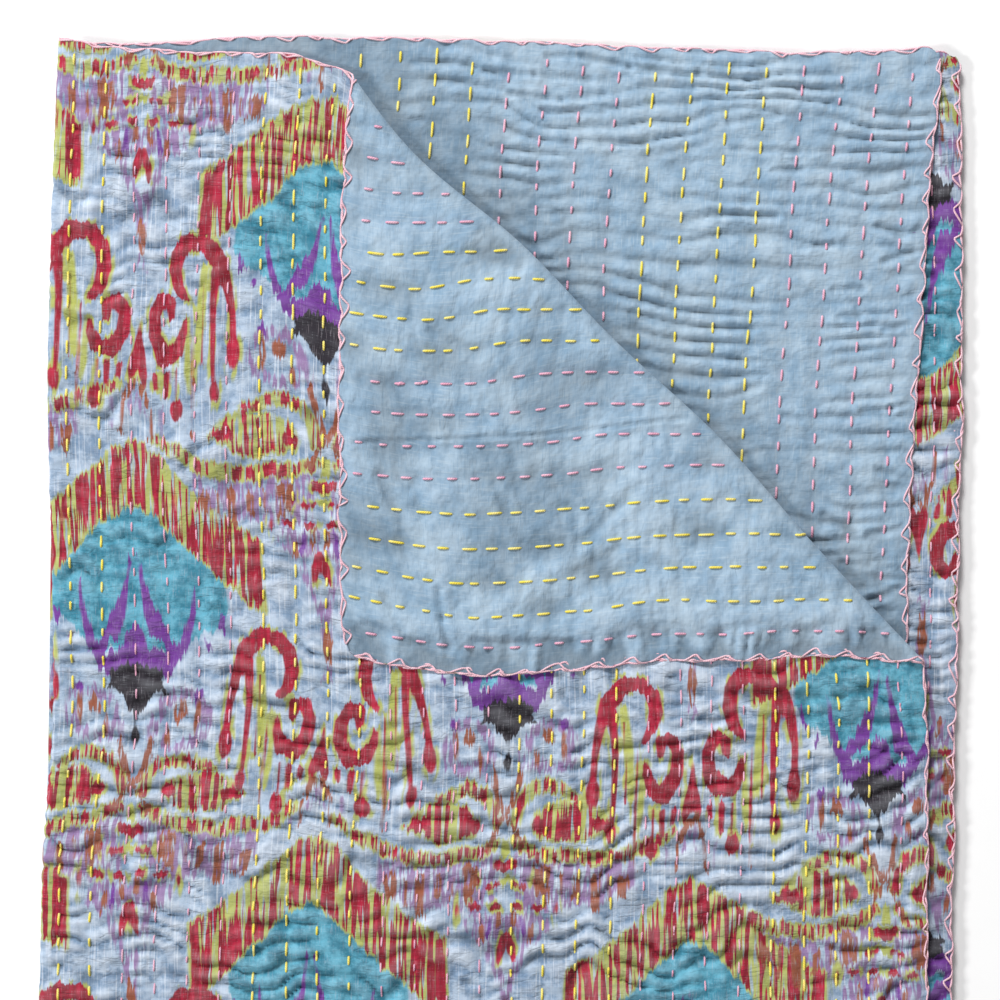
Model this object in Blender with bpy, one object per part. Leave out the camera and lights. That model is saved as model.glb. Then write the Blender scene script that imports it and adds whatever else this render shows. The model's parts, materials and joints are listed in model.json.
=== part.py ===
"""A quilted cotton throw, folded in four and laid flat, with one corner of its top layer turned back.

Two cloths, a printed face and a plain backing, are held together by rows of running stitch. The throw is
described flat first: `across` runs from the hem of the layer that ends on top to the hem at the far side, and
`along` runs from the hems at the head of the pile to the other end. Three folds then carry each flat point to
where it lies: the corner is turned back, the far side goes under at the left, and the foot goes under last.

Metres, +Z up. +Y points to the head of the pile, and the origin is on the floor under its middle.
"""

import math
from typing import NamedTuple

import bmesh
import bpy
import numpy as np

# The flat throw
WIDTH = 1.228
LENGTH = 1.760
SIDE_FOLD = WIDTH / 2
FOOT_FOLD = LENGTH / 2

# The quilt: two cloths and the puffed channels between its rows
CLOTH = 0.0010
CLOTH_GAP = 0.0003
PUFF = 0.0005
HEM = 0.012
PUFF_START = 0.008

# The rows of stitches, which run along the throw and are closer on the half that ends on top
FIRST_ROW = 0.019
TOP_ROW_PITCH = 0.0224
TOP_ROWS = 27
UNDER_ROW_PITCH = 0.0256
UNDER_ROWS = 24

# The pile: four layers of quilt and the turned corner
PITCH = 0.0040
FOLD_RADIUS = PITCH / 2
HALF_ARC = math.pi * FOLD_RADIUS / 2
FOOT_RADIUS = 1.5 * PITCH
FOOT_ARC = 0.014
LOWEST = CLOTH_GAP / 2 + CLOTH
CORNER_LEG = 0.411
CORNER_ROUND = 0.014
CREASE_REACH = 0.06
FLAP_REACH = 0.08

# How finely the cloths are divided
ARC_STEPS = 4
ROWS_ALONG_TOP = (0.160, 0.300, 0.440, 0.660)
ROWS_ALONG_UNDER = (0.133, 0.360, 0.660)
STEP = 1e-5


class Side(NamedTuple):
    """The long edges of the pile at one distance along the throw: X of its side fold and of its two hems."""

    along: float
    fold: float
    top_hem: float
    under_hem: float


class End(NamedTuple):
    """The short edges of the pile at one distance across the throw: Y of its hems and of its foot."""

    across: float
    upper_hem: float
    lower_hem: float
    foot: float


class Bow(NamedTuple):
    """How far an edge strays from straight, at one place on it."""

    place: float
    away: float


class Swell(NamedTuple):
    """A soft rise in the pile: its middle, its reach and its height on the top layer."""

    x: float
    y: float
    reach: float
    rise: float


SIDES = (
    Side(along=0.000, fold=-0.3110, top_hem=0.2996, under_hem=0.3094),
    Side(along=0.133, fold=-0.3160, top_hem=0.2996, under_hem=0.2975),
    Side(along=0.238, fold=-0.3185, top_hem=0.2996, under_hem=0.2912),
    Side(along=0.371, fold=-0.3155, top_hem=0.2996, under_hem=0.2842),
    Side(along=0.457, fold=-0.3145, top_hem=0.3003, under_hem=0.2835),
    Side(along=0.575, fold=-0.3222, top_hem=0.2982, under_hem=0.2884),
    Side(along=0.659, fold=-0.3240, top_hem=0.2982, under_hem=0.2933),
    Side(along=0.880, fold=-0.3245, top_hem=0.3024, under_hem=0.3059),
    Side(along=1.101, fold=-0.3235, top_hem=0.2989, under_hem=0.3150),
    Side(along=1.282, fold=-0.3195, top_hem=0.2989, under_hem=0.3180),
    Side(along=1.500, fold=-0.3165, top_hem=0.2989, under_hem=0.3232),
    Side(along=1.627, fold=-0.3130, top_hem=0.2989, under_hem=0.3236),
    Side(along=1.760, fold=-0.3095, top_hem=0.2989, under_hem=0.3215),
)

ENDS = (
    End(across=0.000, upper_hem=0.4214, lower_hem=0.4354, foot=-0.4460),
    End(across=0.200, upper_hem=0.4214, lower_hem=0.4340, foot=-0.4473),
    End(across=0.410, upper_hem=0.4214, lower_hem=0.4333, foot=-0.4466),
    End(across=0.442, upper_hem=0.4319, lower_hem=0.4330, foot=-0.4464),
    End(across=0.526, upper_hem=0.4389, lower_hem=0.4320, foot=-0.4461),
    End(across=0.582, upper_hem=0.4431, lower_hem=0.4312, foot=-0.4459),
    End(across=0.614, upper_hem=0.4470, lower_hem=0.4305, foot=-0.4458),
    End(across=0.646, upper_hem=0.4445, lower_hem=0.4312, foot=-0.4459),
    End(across=0.714, upper_hem=0.4473, lower_hem=0.4320, foot=-0.4461),
    End(across=0.924, upper_hem=0.4462, lower_hem=0.4350, foot=-0.4470),
    End(across=0.994, upper_hem=0.4436, lower_hem=0.4360, foot=-0.4473),
    End(across=1.134, upper_hem=0.4380, lower_hem=0.4375, foot=-0.4463),
    End(across=1.228, upper_hem=0.4424, lower_hem=0.4410, foot=-0.4460),
)

# From the head of the pile to its right side, a share of the crease's length along it
CREASE = (
    Bow(place=0.00, away=0.0040),
    Bow(place=0.10, away=0.0010),
    Bow(place=0.28, away=0.0080),
    Bow(place=0.46, away=0.0030),
    Bow(place=0.63, away=0.0055),
    Bow(place=0.81, away=-0.0020),
    Bow(place=1.00, away=-0.0070),
)

# The turned corner's lower hem, from the right side of the pile inwards
FLAP_HEM = (
    Bow(place=0.000, away=0.0020),
    Bow(place=0.050, away=-0.0010),
    Bow(place=0.134, away=0.0040),
    Bow(place=0.190, away=0.0040),
    Bow(place=0.260, away=0.0090),
    Bow(place=0.316, away=0.0105),
    Bow(place=0.386, away=0.0020),
    Bow(place=0.411, away=0.0000),
)

SWELLS = (
    Swell(x=0.200, y=-0.010, reach=0.090, rise=0.0025),
    Swell(x=-0.090, y=0.240, reach=0.110, rise=0.0020),
    Swell(x=-0.150, y=0.425, reach=0.060, rise=0.0030),
    Swell(x=0.210, y=0.320, reach=0.110, rise=0.0020),
    Swell(x=-0.120, y=-0.240, reach=0.160, rise=0.0025),
    Swell(x=0.190, y=-0.330, reach=0.090, rise=0.0020),
)


def smooth(share):
    """A soft step from 0 to 1."""
    share = np.clip(share, 0.0, 1.0)
    return share * share * (3.0 - 2.0 * share)


def along_curve(rows, column, at):
    """One column of a table as a smooth curve through its rows, at the places `at`."""
    places = np.array([row[0] for row in rows])
    values = np.array([getattr(row, column) for row in rows])
    slopes = np.gradient(values, places)
    i = np.clip(np.searchsorted(places, at) - 1, 0, len(places) - 2)
    width = places[i + 1] - places[i]
    f = np.clip((at - places[i]) / width, 0.0, 1.0)
    start = values[i] * (2 * f**3 - 3 * f**2 + 1) + slopes[i] * width * (f**3 - 2 * f**2 + f)
    return start + values[i + 1] * (3 * f**2 - 2 * f**3) + slopes[i + 1] * width * (f**3 - f**2)


def stitch_rows():
    """The rows' distances across the flat throw, from one side hem to the other, hems included."""
    top = [FIRST_ROW + TOP_ROW_PITCH * i for i in range(TOP_ROWS)]
    under = [WIDTH - FIRST_ROW - UNDER_ROW_PITCH * i for i in reversed(range(UNDER_ROWS))]
    return [0.0, *top, *under, WIDTH]


def rounded(across, along):
    """The flat throw's four corners, rounded a little."""
    right = across > SIDE_FOLD
    far = along > FOOT_FOLD
    a = np.clip(CORNER_ROUND - np.where(right, WIDTH - across, across), 0.0, None)
    b = np.clip(CORNER_ROUND - np.where(far, LENGTH - along, along), 0.0, None)
    pull = np.maximum(a, b) / np.maximum(np.hypot(a, b), 1e-9)
    pull = np.where((a > 0) & (b > 0), 1.0 - pull, 0.0)
    return across + np.where(right, -a, a) * pull, along + np.where(far, -b, b) * pull


def turn_corner(across, along):
    """The corner turned back on its crease: new flat places, and the height that the turn gains."""
    beyond = (CORNER_LEG - across - along) / math.sqrt(2)
    angle = np.clip((beyond + HALF_ARC) / FOLD_RADIUS, 0.0, math.pi)
    arc = -HALF_ARC + FOLD_RADIUS * np.sin(angle)
    placed = np.where(beyond > HALF_ARC, -beyond, np.where(beyond < -HALF_ARC, beyond, arc))
    moved = (beyond - placed) / math.sqrt(2)
    across = across + moved
    along = along + moved
    inside = np.maximum(-placed, 0.0)

    share = (along - across + CORNER_LEG) / (2 * CORNER_LEG)
    bow = along_curve(CREASE, "away", share) * np.exp(-((inside / CREASE_REACH) ** 2))
    drop = along_curve(FLAP_HEM, "away", across) * smooth(beyond / FLAP_REACH)
    lift = FOLD_RADIUS * (1.0 - np.cos(angle))
    return across - bow / math.sqrt(2), along - bow / math.sqrt(2) + drop, lift


def laid(across, along):
    """Where the middle of the quilt lies, for flat places given as arrays."""
    across, along = rounded(across, along)
    across, along, lift = turn_corner(across, along)

    past = across - SIDE_FOLD
    angle = np.clip((past + HALF_ARC) / FOLD_RADIUS, 0.0, math.pi)
    depth = FOLD_RADIUS * (1.0 - np.cos(angle)) - lift
    reach = np.where(np.abs(past) > HALF_ARC, np.abs(past) - HALF_ARC, -FOLD_RADIUS * np.sin(angle))
    fold = along_curve(SIDES, "fold", along) + FOLD_RADIUS
    top_hem = along_curve(SIDES, "top_hem", along)
    under_hem = along_curve(SIDES, "under_hem", along)
    full = (np.where(past < 0, top_hem, under_hem) - fold) / (SIDE_FOLD - HALF_ARC)
    x = fold + reach * np.where(reach > 0, full, 1.0)

    down = along - FOOT_FOLD
    half = FOOT_ARC / 2
    angle = np.clip((down + half) / FOOT_ARC, 0.0, 1.0) * math.pi
    radius = FOOT_RADIUS - depth
    run = np.where(np.abs(down) > half, np.abs(down) - half, -radius * np.sin(angle))
    foot = along_curve(ENDS, "foot", across) + FOOT_RADIUS
    upper = along_curve(ENDS, "upper_hem", across)
    lower = along_curve(ENDS, "lower_hem", across)
    full = (np.where(down < 0, upper, lower) - foot) / (FOOT_FOLD - half)
    y = foot + run * np.where(run > 0, full, 1.0)
    z = LOWEST + FOOT_RADIUS + radius * np.cos(angle)

    swell = sum(s.rise * np.exp(-((x - s.x) ** 2 + (y - s.y) ** 2) / s.reach**2) for s in SWELLS)
    z = z + swell * np.clip((z - LOWEST) / (3 * PITCH), 0.0, 1.0)
    return np.stack([x, y, z], axis=-1)


def outward(across, along):
    """The quilt's normal on its face side."""
    by_across = laid(across + STEP, along) - laid(across - STEP, along)
    by_along = laid(across, along + STEP) - laid(across, along - STEP)
    normal = np.cross(by_across, by_along)
    return normal / np.linalg.norm(normal, axis=-1, keepdims=True)


def puffed(across, along):
    """How far the channels between the rows stand up, which is nothing at the hems and the folds."""
    rows = np.array(stitch_rows())
    i = np.clip(np.searchsorted(rows, across) - 1, 0, len(rows) - 2)
    channel = np.sin(math.pi * (across - rows[i]) / (rows[i + 1] - rows[i]))
    from_side = np.abs(across - SIDE_FOLD) - HALF_ARC
    from_foot = np.abs(along - FOOT_FOLD) - FOOT_ARC / 2
    from_crease = np.abs(CORNER_LEG - across - along) / math.sqrt(2) - HALF_ARC
    from_end = np.minimum(along, LENGTH - along)
    flat = smooth(from_side / PUFF_START) * smooth(from_foot / HEM)
    return PUFF * channel * flat * smooth(from_crease / PUFF_START) * smooth(from_end / HEM)


def cut_places():
    """The planes that divide the flat cloths, each as a point and a normal in the flat throw."""
    rows = stitch_rows()
    ridges = [(a + b) / 2 for a, b in zip(rows, rows[1:]) if not a < SIDE_FOLD < b]
    side_arc = [SIDE_FOLD + HALF_ARC * (2 * i / ARC_STEPS - 1) for i in range(ARC_STEPS + 1)]
    foot_arc = [FOOT_FOLD + FOOT_ARC * (i / ARC_STEPS - 0.5) for i in range(ARC_STEPS + 1)]
    foot_puff = [FOOT_FOLD - FOOT_ARC / 2 - HEM, FOOT_FOLD + FOOT_ARC / 2 + HEM]
    under = [LENGTH - place for place in ROWS_ALONG_UNDER]
    hems = [HEM, LENGTH - HEM]
    crease = [HALF_ARC * (2 * i / ARC_STEPS - 1) for i in range(ARC_STEPS + 1)]
    crease += [-HALF_ARC - PUFF_START, HALF_ARC + PUFF_START]

    planes = [((place, 0, 0), (1, 0, 0)) for place in rows[1:-1] + ridges + side_arc]
    planes += [((0, place, 0), (0, 1, 0)) for place in [*ROWS_ALONG_TOP, *under, *hems, *foot_arc, *foot_puff]]
    planes += [((CORNER_LEG + place * math.sqrt(2), 0, 0), (1, 1, 0)) for place in crease]
    return planes


def flat_cloth(low, high):
    """A cloth as it is cut: a flat slab with an edge wherever a row or a fold needs one."""
    mesh = bmesh.new()
    bmesh.ops.create_cube(mesh, size=1.0)
    for vert in mesh.verts:
        vert.co.x = WIDTH * (vert.co.x + 0.5)
        vert.co.y = LENGTH * (vert.co.y + 0.5)
        vert.co.z = high if vert.co.z > 0 else low
    for point, normal in cut_places():
        geometry = [*mesh.verts, *mesh.edges, *mesh.faces]
        bmesh.ops.bisect_plane(mesh, geom=geometry, dist=1e-6, plane_co=point, plane_no=normal)
    return mesh


def folded_cloth(name, side, material):
    """One cloth of the quilt, folded with it. `side` is 1 for the face and -1 for the backing."""
    inner = side * CLOTH_GAP / 2
    outer = side * (CLOTH_GAP / 2 + CLOTH)
    mesh = flat_cloth(min(inner, outer), max(inner, outer))
    flat = np.array([vert.co for vert in mesh.verts], dtype=float)
    across, along, offset = flat.T
    puff = puffed(across, along)
    if side > 0:
        # The face of the lowest layer lies flat on the floor
        puff = np.where((across < SIDE_FOLD) & (along > FOOT_FOLD), 0.0, puff)
    places = laid(across, along) + outward(across, along) * (offset + side * puff)[:, None]
    for vert, place in zip(mesh.verts, places):
        vert.co = place
    data = bpy.data.meshes.new(name)
    mesh.to_mesh(data)
    mesh.free()
    data.materials.append(material)
    cloth = bpy.data.objects.new(name, data)
    bpy.context.scene.collection.objects.link(cloth)
    return cloth


def cotton(name, color, roughness):
    """A matte cotton of one colour."""
    material = bpy.data.materials.new(name)
    material.use_nodes = True
    shader = material.node_tree.nodes["Principled BSDF"]
    shader.inputs["Base Color"].default_value = (*color, 1.0)
    shader.inputs["Roughness"].default_value = roughness
    shader.inputs["Metallic"].default_value = 0.0
    return material


def main():
    for old in list(bpy.data.objects):
        bpy.data.objects.remove(old, do_unlink=True)
    folded_cloth("face_cloth", 1, cotton("printed_cotton", color=(0.44, 0.40, 0.48), roughness=0.88))
    folded_cloth("backing_cloth", -1, cotton("plain_blue_cotton", color=(0.34, 0.48, 0.60), roughness=0.90))


if __name__ == "__main__":
    main()
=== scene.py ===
"""The looks of a quilted cotton throw, folded in four with one corner of its top layer turned back.

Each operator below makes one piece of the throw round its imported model: the printed face, the plain backing,
the rows of running stitch, the overcast hems, and the stage. The cloths lie on the folds of the model's
solids. A place on the throw is given flat first, in metres: `across` from the hem that ends on top to the far
hem, and `along` from the hems at the head of the pile to the other end.
"""

import json
import math
from typing import NamedTuple

import bmesh
import bpy
import numpy as np
from bpy.props import FloatProperty, FloatVectorProperty, PointerProperty
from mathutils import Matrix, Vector

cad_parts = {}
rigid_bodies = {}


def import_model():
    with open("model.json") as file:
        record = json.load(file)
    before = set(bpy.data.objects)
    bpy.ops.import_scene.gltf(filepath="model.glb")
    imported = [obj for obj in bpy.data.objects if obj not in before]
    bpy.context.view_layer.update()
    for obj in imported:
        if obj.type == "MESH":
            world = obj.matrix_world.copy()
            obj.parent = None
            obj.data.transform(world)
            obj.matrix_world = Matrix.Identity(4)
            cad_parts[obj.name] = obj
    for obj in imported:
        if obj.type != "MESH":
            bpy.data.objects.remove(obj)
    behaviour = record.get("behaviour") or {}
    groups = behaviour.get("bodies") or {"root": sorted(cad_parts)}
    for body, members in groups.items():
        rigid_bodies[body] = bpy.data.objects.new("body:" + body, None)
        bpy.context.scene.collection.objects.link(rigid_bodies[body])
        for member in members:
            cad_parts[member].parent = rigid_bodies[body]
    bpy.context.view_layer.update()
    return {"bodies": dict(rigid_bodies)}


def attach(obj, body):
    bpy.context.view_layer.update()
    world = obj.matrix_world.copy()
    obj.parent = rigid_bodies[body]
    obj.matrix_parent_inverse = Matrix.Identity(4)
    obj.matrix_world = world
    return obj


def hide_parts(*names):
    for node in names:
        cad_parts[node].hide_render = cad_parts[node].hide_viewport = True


bl_info = {
    "name": "Quilted throw",
    "version": (1, 0, 0),
    "blender": (4, 5, 0),
    "location": "View3D > Sidebar > Throw",
    "description": "Makes the cloths, stitches, hems and stage of a folded quilted throw",
    "category": "Object",
}

for leftover in list(bpy.data.objects):
    bpy.data.objects.remove(leftover, do_unlink=True)
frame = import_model()
BODY = next(iter(frame["bodies"]))

# The flat throw, as in the model
WIDTH = 1.228
LENGTH = 1.760
SIDE_FOLD = WIDTH / 2
FOOT_FOLD = LENGTH / 2
CLOTH = 0.0010
CLOTH_GAP = 0.0003
HEM = 0.012
CORNER_ROUND = 0.014

# The rows of stitches, as in the model
FIRST_ROW = 0.019
TOP_ROW_PITCH = 0.0224
TOP_ROWS = 27
UNDER_ROW_PITCH = 0.0256
UNDER_ROWS = 24

# The pile, as in the model
PITCH = 0.0040
FOLD_RADIUS = PITCH / 2
HALF_ARC = math.pi * FOLD_RADIUS / 2
FOOT_RADIUS = 1.5 * PITCH
FOOT_ARC = 0.014
LOWEST = CLOTH_GAP / 2 + CLOTH
CORNER_LEG = 0.411
CREASE_REACH = 0.06
FLAP_REACH = 0.08

# How finely the cloths are divided: whole cells where they are hidden, and cells cut up where they show
COLUMNS = 82
ROWS = 117
FACE_CUTS = 5
BACKING_CUTS = 8
ARC_STEPS = 6
FOOT_STEPS = 10
HEM_STEPS = (0.10, 0.40, 1.00)
COVERED_CELLS = 0.395
TOP_CELLS = (0.628, 0.895)
STRIP_CELLS = (1.165, 0.860)
UNDER_CELLS = 0.790
FOLD_CELLS = 0.020
FOOT_CELLS = 0.025
CREASE_CELLS = 0.030
HEM_CELLS = 0.010
STEP = 1e-5

# Where the faces that show begin and end, and how softly their relief fades out there
STRIP_START = 1.180
UNDER_START = 0.800
FADE = 0.008
FOLD_FADE_START = 0.012
FOLD_FADE = 0.018

# The unevenness of washed, hand-stitched cloth
DEEPEST = -0.0020
HIGHEST = 0.0032
WANDER = 0.0013
HEM_WANDER = 0.0010
SOFT_RISE = 0.0009
HEM_SHARE = 0.35
FACE_ROW_SHARE = 0.66
BACKING_ROW_SHARE = 0.75
BACKING_PUFF_SHARE = 0.75
BACKING_PUCKER_SHARE = 0.52
ROUGHER_FROM = 0.40
ROUGHER_REACH = 0.12

# The loose hem of the turned corner, in shares of the puckers' height and in metres from the hem
HEM_SWELL = 0.42
HEM_SWELL_AT = 0.031
HEM_SWELL_REACH = 0.009
HEM_DROOP = 0.55
HEM_DROOP_REACH = 0.030
HEM_GATHERS = 0.85

# Pale ridges and painted shade: the even height, and the painted shadow beside the turned corner's crease
EVEN_LEVEL = 0.20
SHADE = 0.45
SHADE_REACH = 0.035

# The sewing. A knot is a place on the backing where the thread doubles up
STITCH_POINTS = 7
STITCH_MARGIN = 0.004
SHORTER_PINK = 0.88
SHOWN_ENOUGH = 0.3
STITCH_ARCH = 1.5
STITCH_SINK = 0.8
SLENDER = {("pink", 1): 0.68, ("pink", -1): 0.92, ("yellow", 1): 0.88, ("yellow", -1): 0.94}
THREAD_SIDES = 6
KNOT = 0.0042
KNOT_RADIUS = 0.0013
KNOT_SLANT = 0.25
KNOTS = ((0.1985, 0.0570), (0.1975, 0.0400))
HEM_THREAD = 0.0015
SECOND_STRAND_DEPTH = 0.28
SECOND_STRAND_INSET = 0.0002
HEM_STITCH_DEPTH = 0.0052
HEM_STITCH_PITCH = 0.0225

# The print: columns of motifs, each a half repeat lower than its neighbour
REPEAT = 0.524
COLUMN_PITCH = 0.130
FIRST_COLUMN = 0.033
FIRST_APEX = 0.3336
APEX_SLANT = -0.1355
HALF_DROP = 0.270
COLUMN_SHIFTS = (
    (0.033, 0.0060),
    (0.163, -0.0120),
    (0.293, -0.0105),
    (0.423, -0.0030),
    (0.553, 0.0140),
    (0.683, 0.0000),
)
MOST_FIELD = 0.030
FIELD_VECTORS = 3
MM = 0.001

# The stage
FLOOR_LEVEL = -0.0004
FLOOR_REACH = 6.0
LAMP_SIZE = 1.4
CAMERA_X = -0.0021
CAMERA_Y = 0.1239
PILE_TOP = 0.017
SENSOR_WIDTH = 36.0


class Side(NamedTuple):
    """The long edges of the pile at one distance along the throw: X of its side fold and of its two hems."""

    along: float
    fold: float
    top_hem: float
    under_hem: float


class End(NamedTuple):
    """The short edges of the pile at one distance across the throw: Y of its hems and of its foot."""

    across: float
    upper_hem: float
    lower_hem: float
    foot: float


class Puckers(NamedTuple):
    """Puckers that cross the rows: their share of the full height, their spacing, length and random seed."""

    share: float
    pitch: float
    length: float
    seed: int


class Lamp(NamedTuple):
    """A soft lamp: its place, and its share of the power of both."""

    name: str
    place: tuple
    share: float


class Bow(NamedTuple):
    """How far an edge strays from straight, at one place on it."""

    place: float
    away: float


class Swell(NamedTuple):
    """A soft rise in the pile: its middle, its reach and its height on the top layer."""

    x: float
    y: float
    reach: float
    rise: float


class Crease(NamedTuple):
    """A crease as seen from above, from end to end: its height, or depth if below 0, and its half width."""

    x1: float
    y1: float
    x2: float
    y2: float
    height: float
    wide: float


BROAD_PUCKERS = Puckers(share=0.95, pitch=0.0165, length=0.060, seed=61)
FINE_PUCKERS = Puckers(share=0.45, pitch=0.0098, length=0.045, seed=64)
BACKING_PUCKERS = Puckers(share=1.25, pitch=0.0125, length=0.110, seed=71)

LAMPS = (
    Lamp("far_lamp", place=(-1.1, 4.2, 3.04), share=0.49),
    Lamp("side_lamp", place=(-5.6, -0.9, 3.8), share=0.51),
)

SIDES = (
    Side(along=0.000, fold=-0.3110, top_hem=0.2996, under_hem=0.3094),
    Side(along=0.133, fold=-0.3160, top_hem=0.2996, under_hem=0.2975),
    Side(along=0.238, fold=-0.3185, top_hem=0.2996, under_hem=0.2912),
    Side(along=0.371, fold=-0.3155, top_hem=0.2996, under_hem=0.2842),
    Side(along=0.457, fold=-0.3145, top_hem=0.3003, under_hem=0.2835),
    Side(along=0.575, fold=-0.3222, top_hem=0.2982, under_hem=0.2884),
    Side(along=0.659, fold=-0.3240, top_hem=0.2982, under_hem=0.2933),
    Side(along=0.880, fold=-0.3245, top_hem=0.3024, under_hem=0.3059),
    Side(along=1.101, fold=-0.3235, top_hem=0.2989, under_hem=0.3150),
    Side(along=1.282, fold=-0.3195, top_hem=0.2989, under_hem=0.3180),
    Side(along=1.500, fold=-0.3165, top_hem=0.2989, under_hem=0.3232),
    Side(along=1.627, fold=-0.3130, top_hem=0.2989, under_hem=0.3236),
    Side(along=1.760, fold=-0.3095, top_hem=0.2989, under_hem=0.3215),
)

ENDS = (
    End(across=0.000, upper_hem=0.4214, lower_hem=0.4354, foot=-0.4460),
    End(across=0.200, upper_hem=0.4214, lower_hem=0.4340, foot=-0.4473),
    End(across=0.410, upper_hem=0.4214, lower_hem=0.4333, foot=-0.4466),
    End(across=0.442, upper_hem=0.4319, lower_hem=0.4330, foot=-0.4464),
    End(across=0.526, upper_hem=0.4389, lower_hem=0.4320, foot=-0.4461),
    End(across=0.582, upper_hem=0.4431, lower_hem=0.4312, foot=-0.4459),
    End(across=0.614, upper_hem=0.4470, lower_hem=0.4305, foot=-0.4458),
    End(across=0.646, upper_hem=0.4445, lower_hem=0.4312, foot=-0.4459),
    End(across=0.714, upper_hem=0.4473, lower_hem=0.4320, foot=-0.4461),
    End(across=0.924, upper_hem=0.4462, lower_hem=0.4350, foot=-0.4470),
    End(across=0.994, upper_hem=0.4436, lower_hem=0.4360, foot=-0.4473),
    End(across=1.134, upper_hem=0.4380, lower_hem=0.4375, foot=-0.4463),
    End(across=1.228, upper_hem=0.4424, lower_hem=0.4410, foot=-0.4460),
)

CREASE = (
    Bow(place=0.00, away=0.0040),
    Bow(place=0.10, away=0.0010),
    Bow(place=0.28, away=0.0080),
    Bow(place=0.46, away=0.0030),
    Bow(place=0.63, away=0.0055),
    Bow(place=0.81, away=-0.0020),
    Bow(place=1.00, away=-0.0070),
)

FLAP_HEM = (
    Bow(place=0.000, away=0.0020),
    Bow(place=0.050, away=-0.0010),
    Bow(place=0.134, away=0.0040),
    Bow(place=0.190, away=0.0040),
    Bow(place=0.260, away=0.0090),
    Bow(place=0.316, away=0.0105),
    Bow(place=0.386, away=0.0020),
    Bow(place=0.411, away=0.0000),
)

SWELLS = (
    Swell(x=0.200, y=-0.010, reach=0.090, rise=0.0025),
    Swell(x=-0.090, y=0.240, reach=0.110, rise=0.0020),
    Swell(x=-0.150, y=0.425, reach=0.060, rise=0.0030),
    Swell(x=0.210, y=0.320, reach=0.110, rise=0.0020),
    Swell(x=-0.120, y=-0.240, reach=0.160, rise=0.0025),
    Swell(x=0.190, y=-0.330, reach=0.090, rise=0.0020),
)

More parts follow.
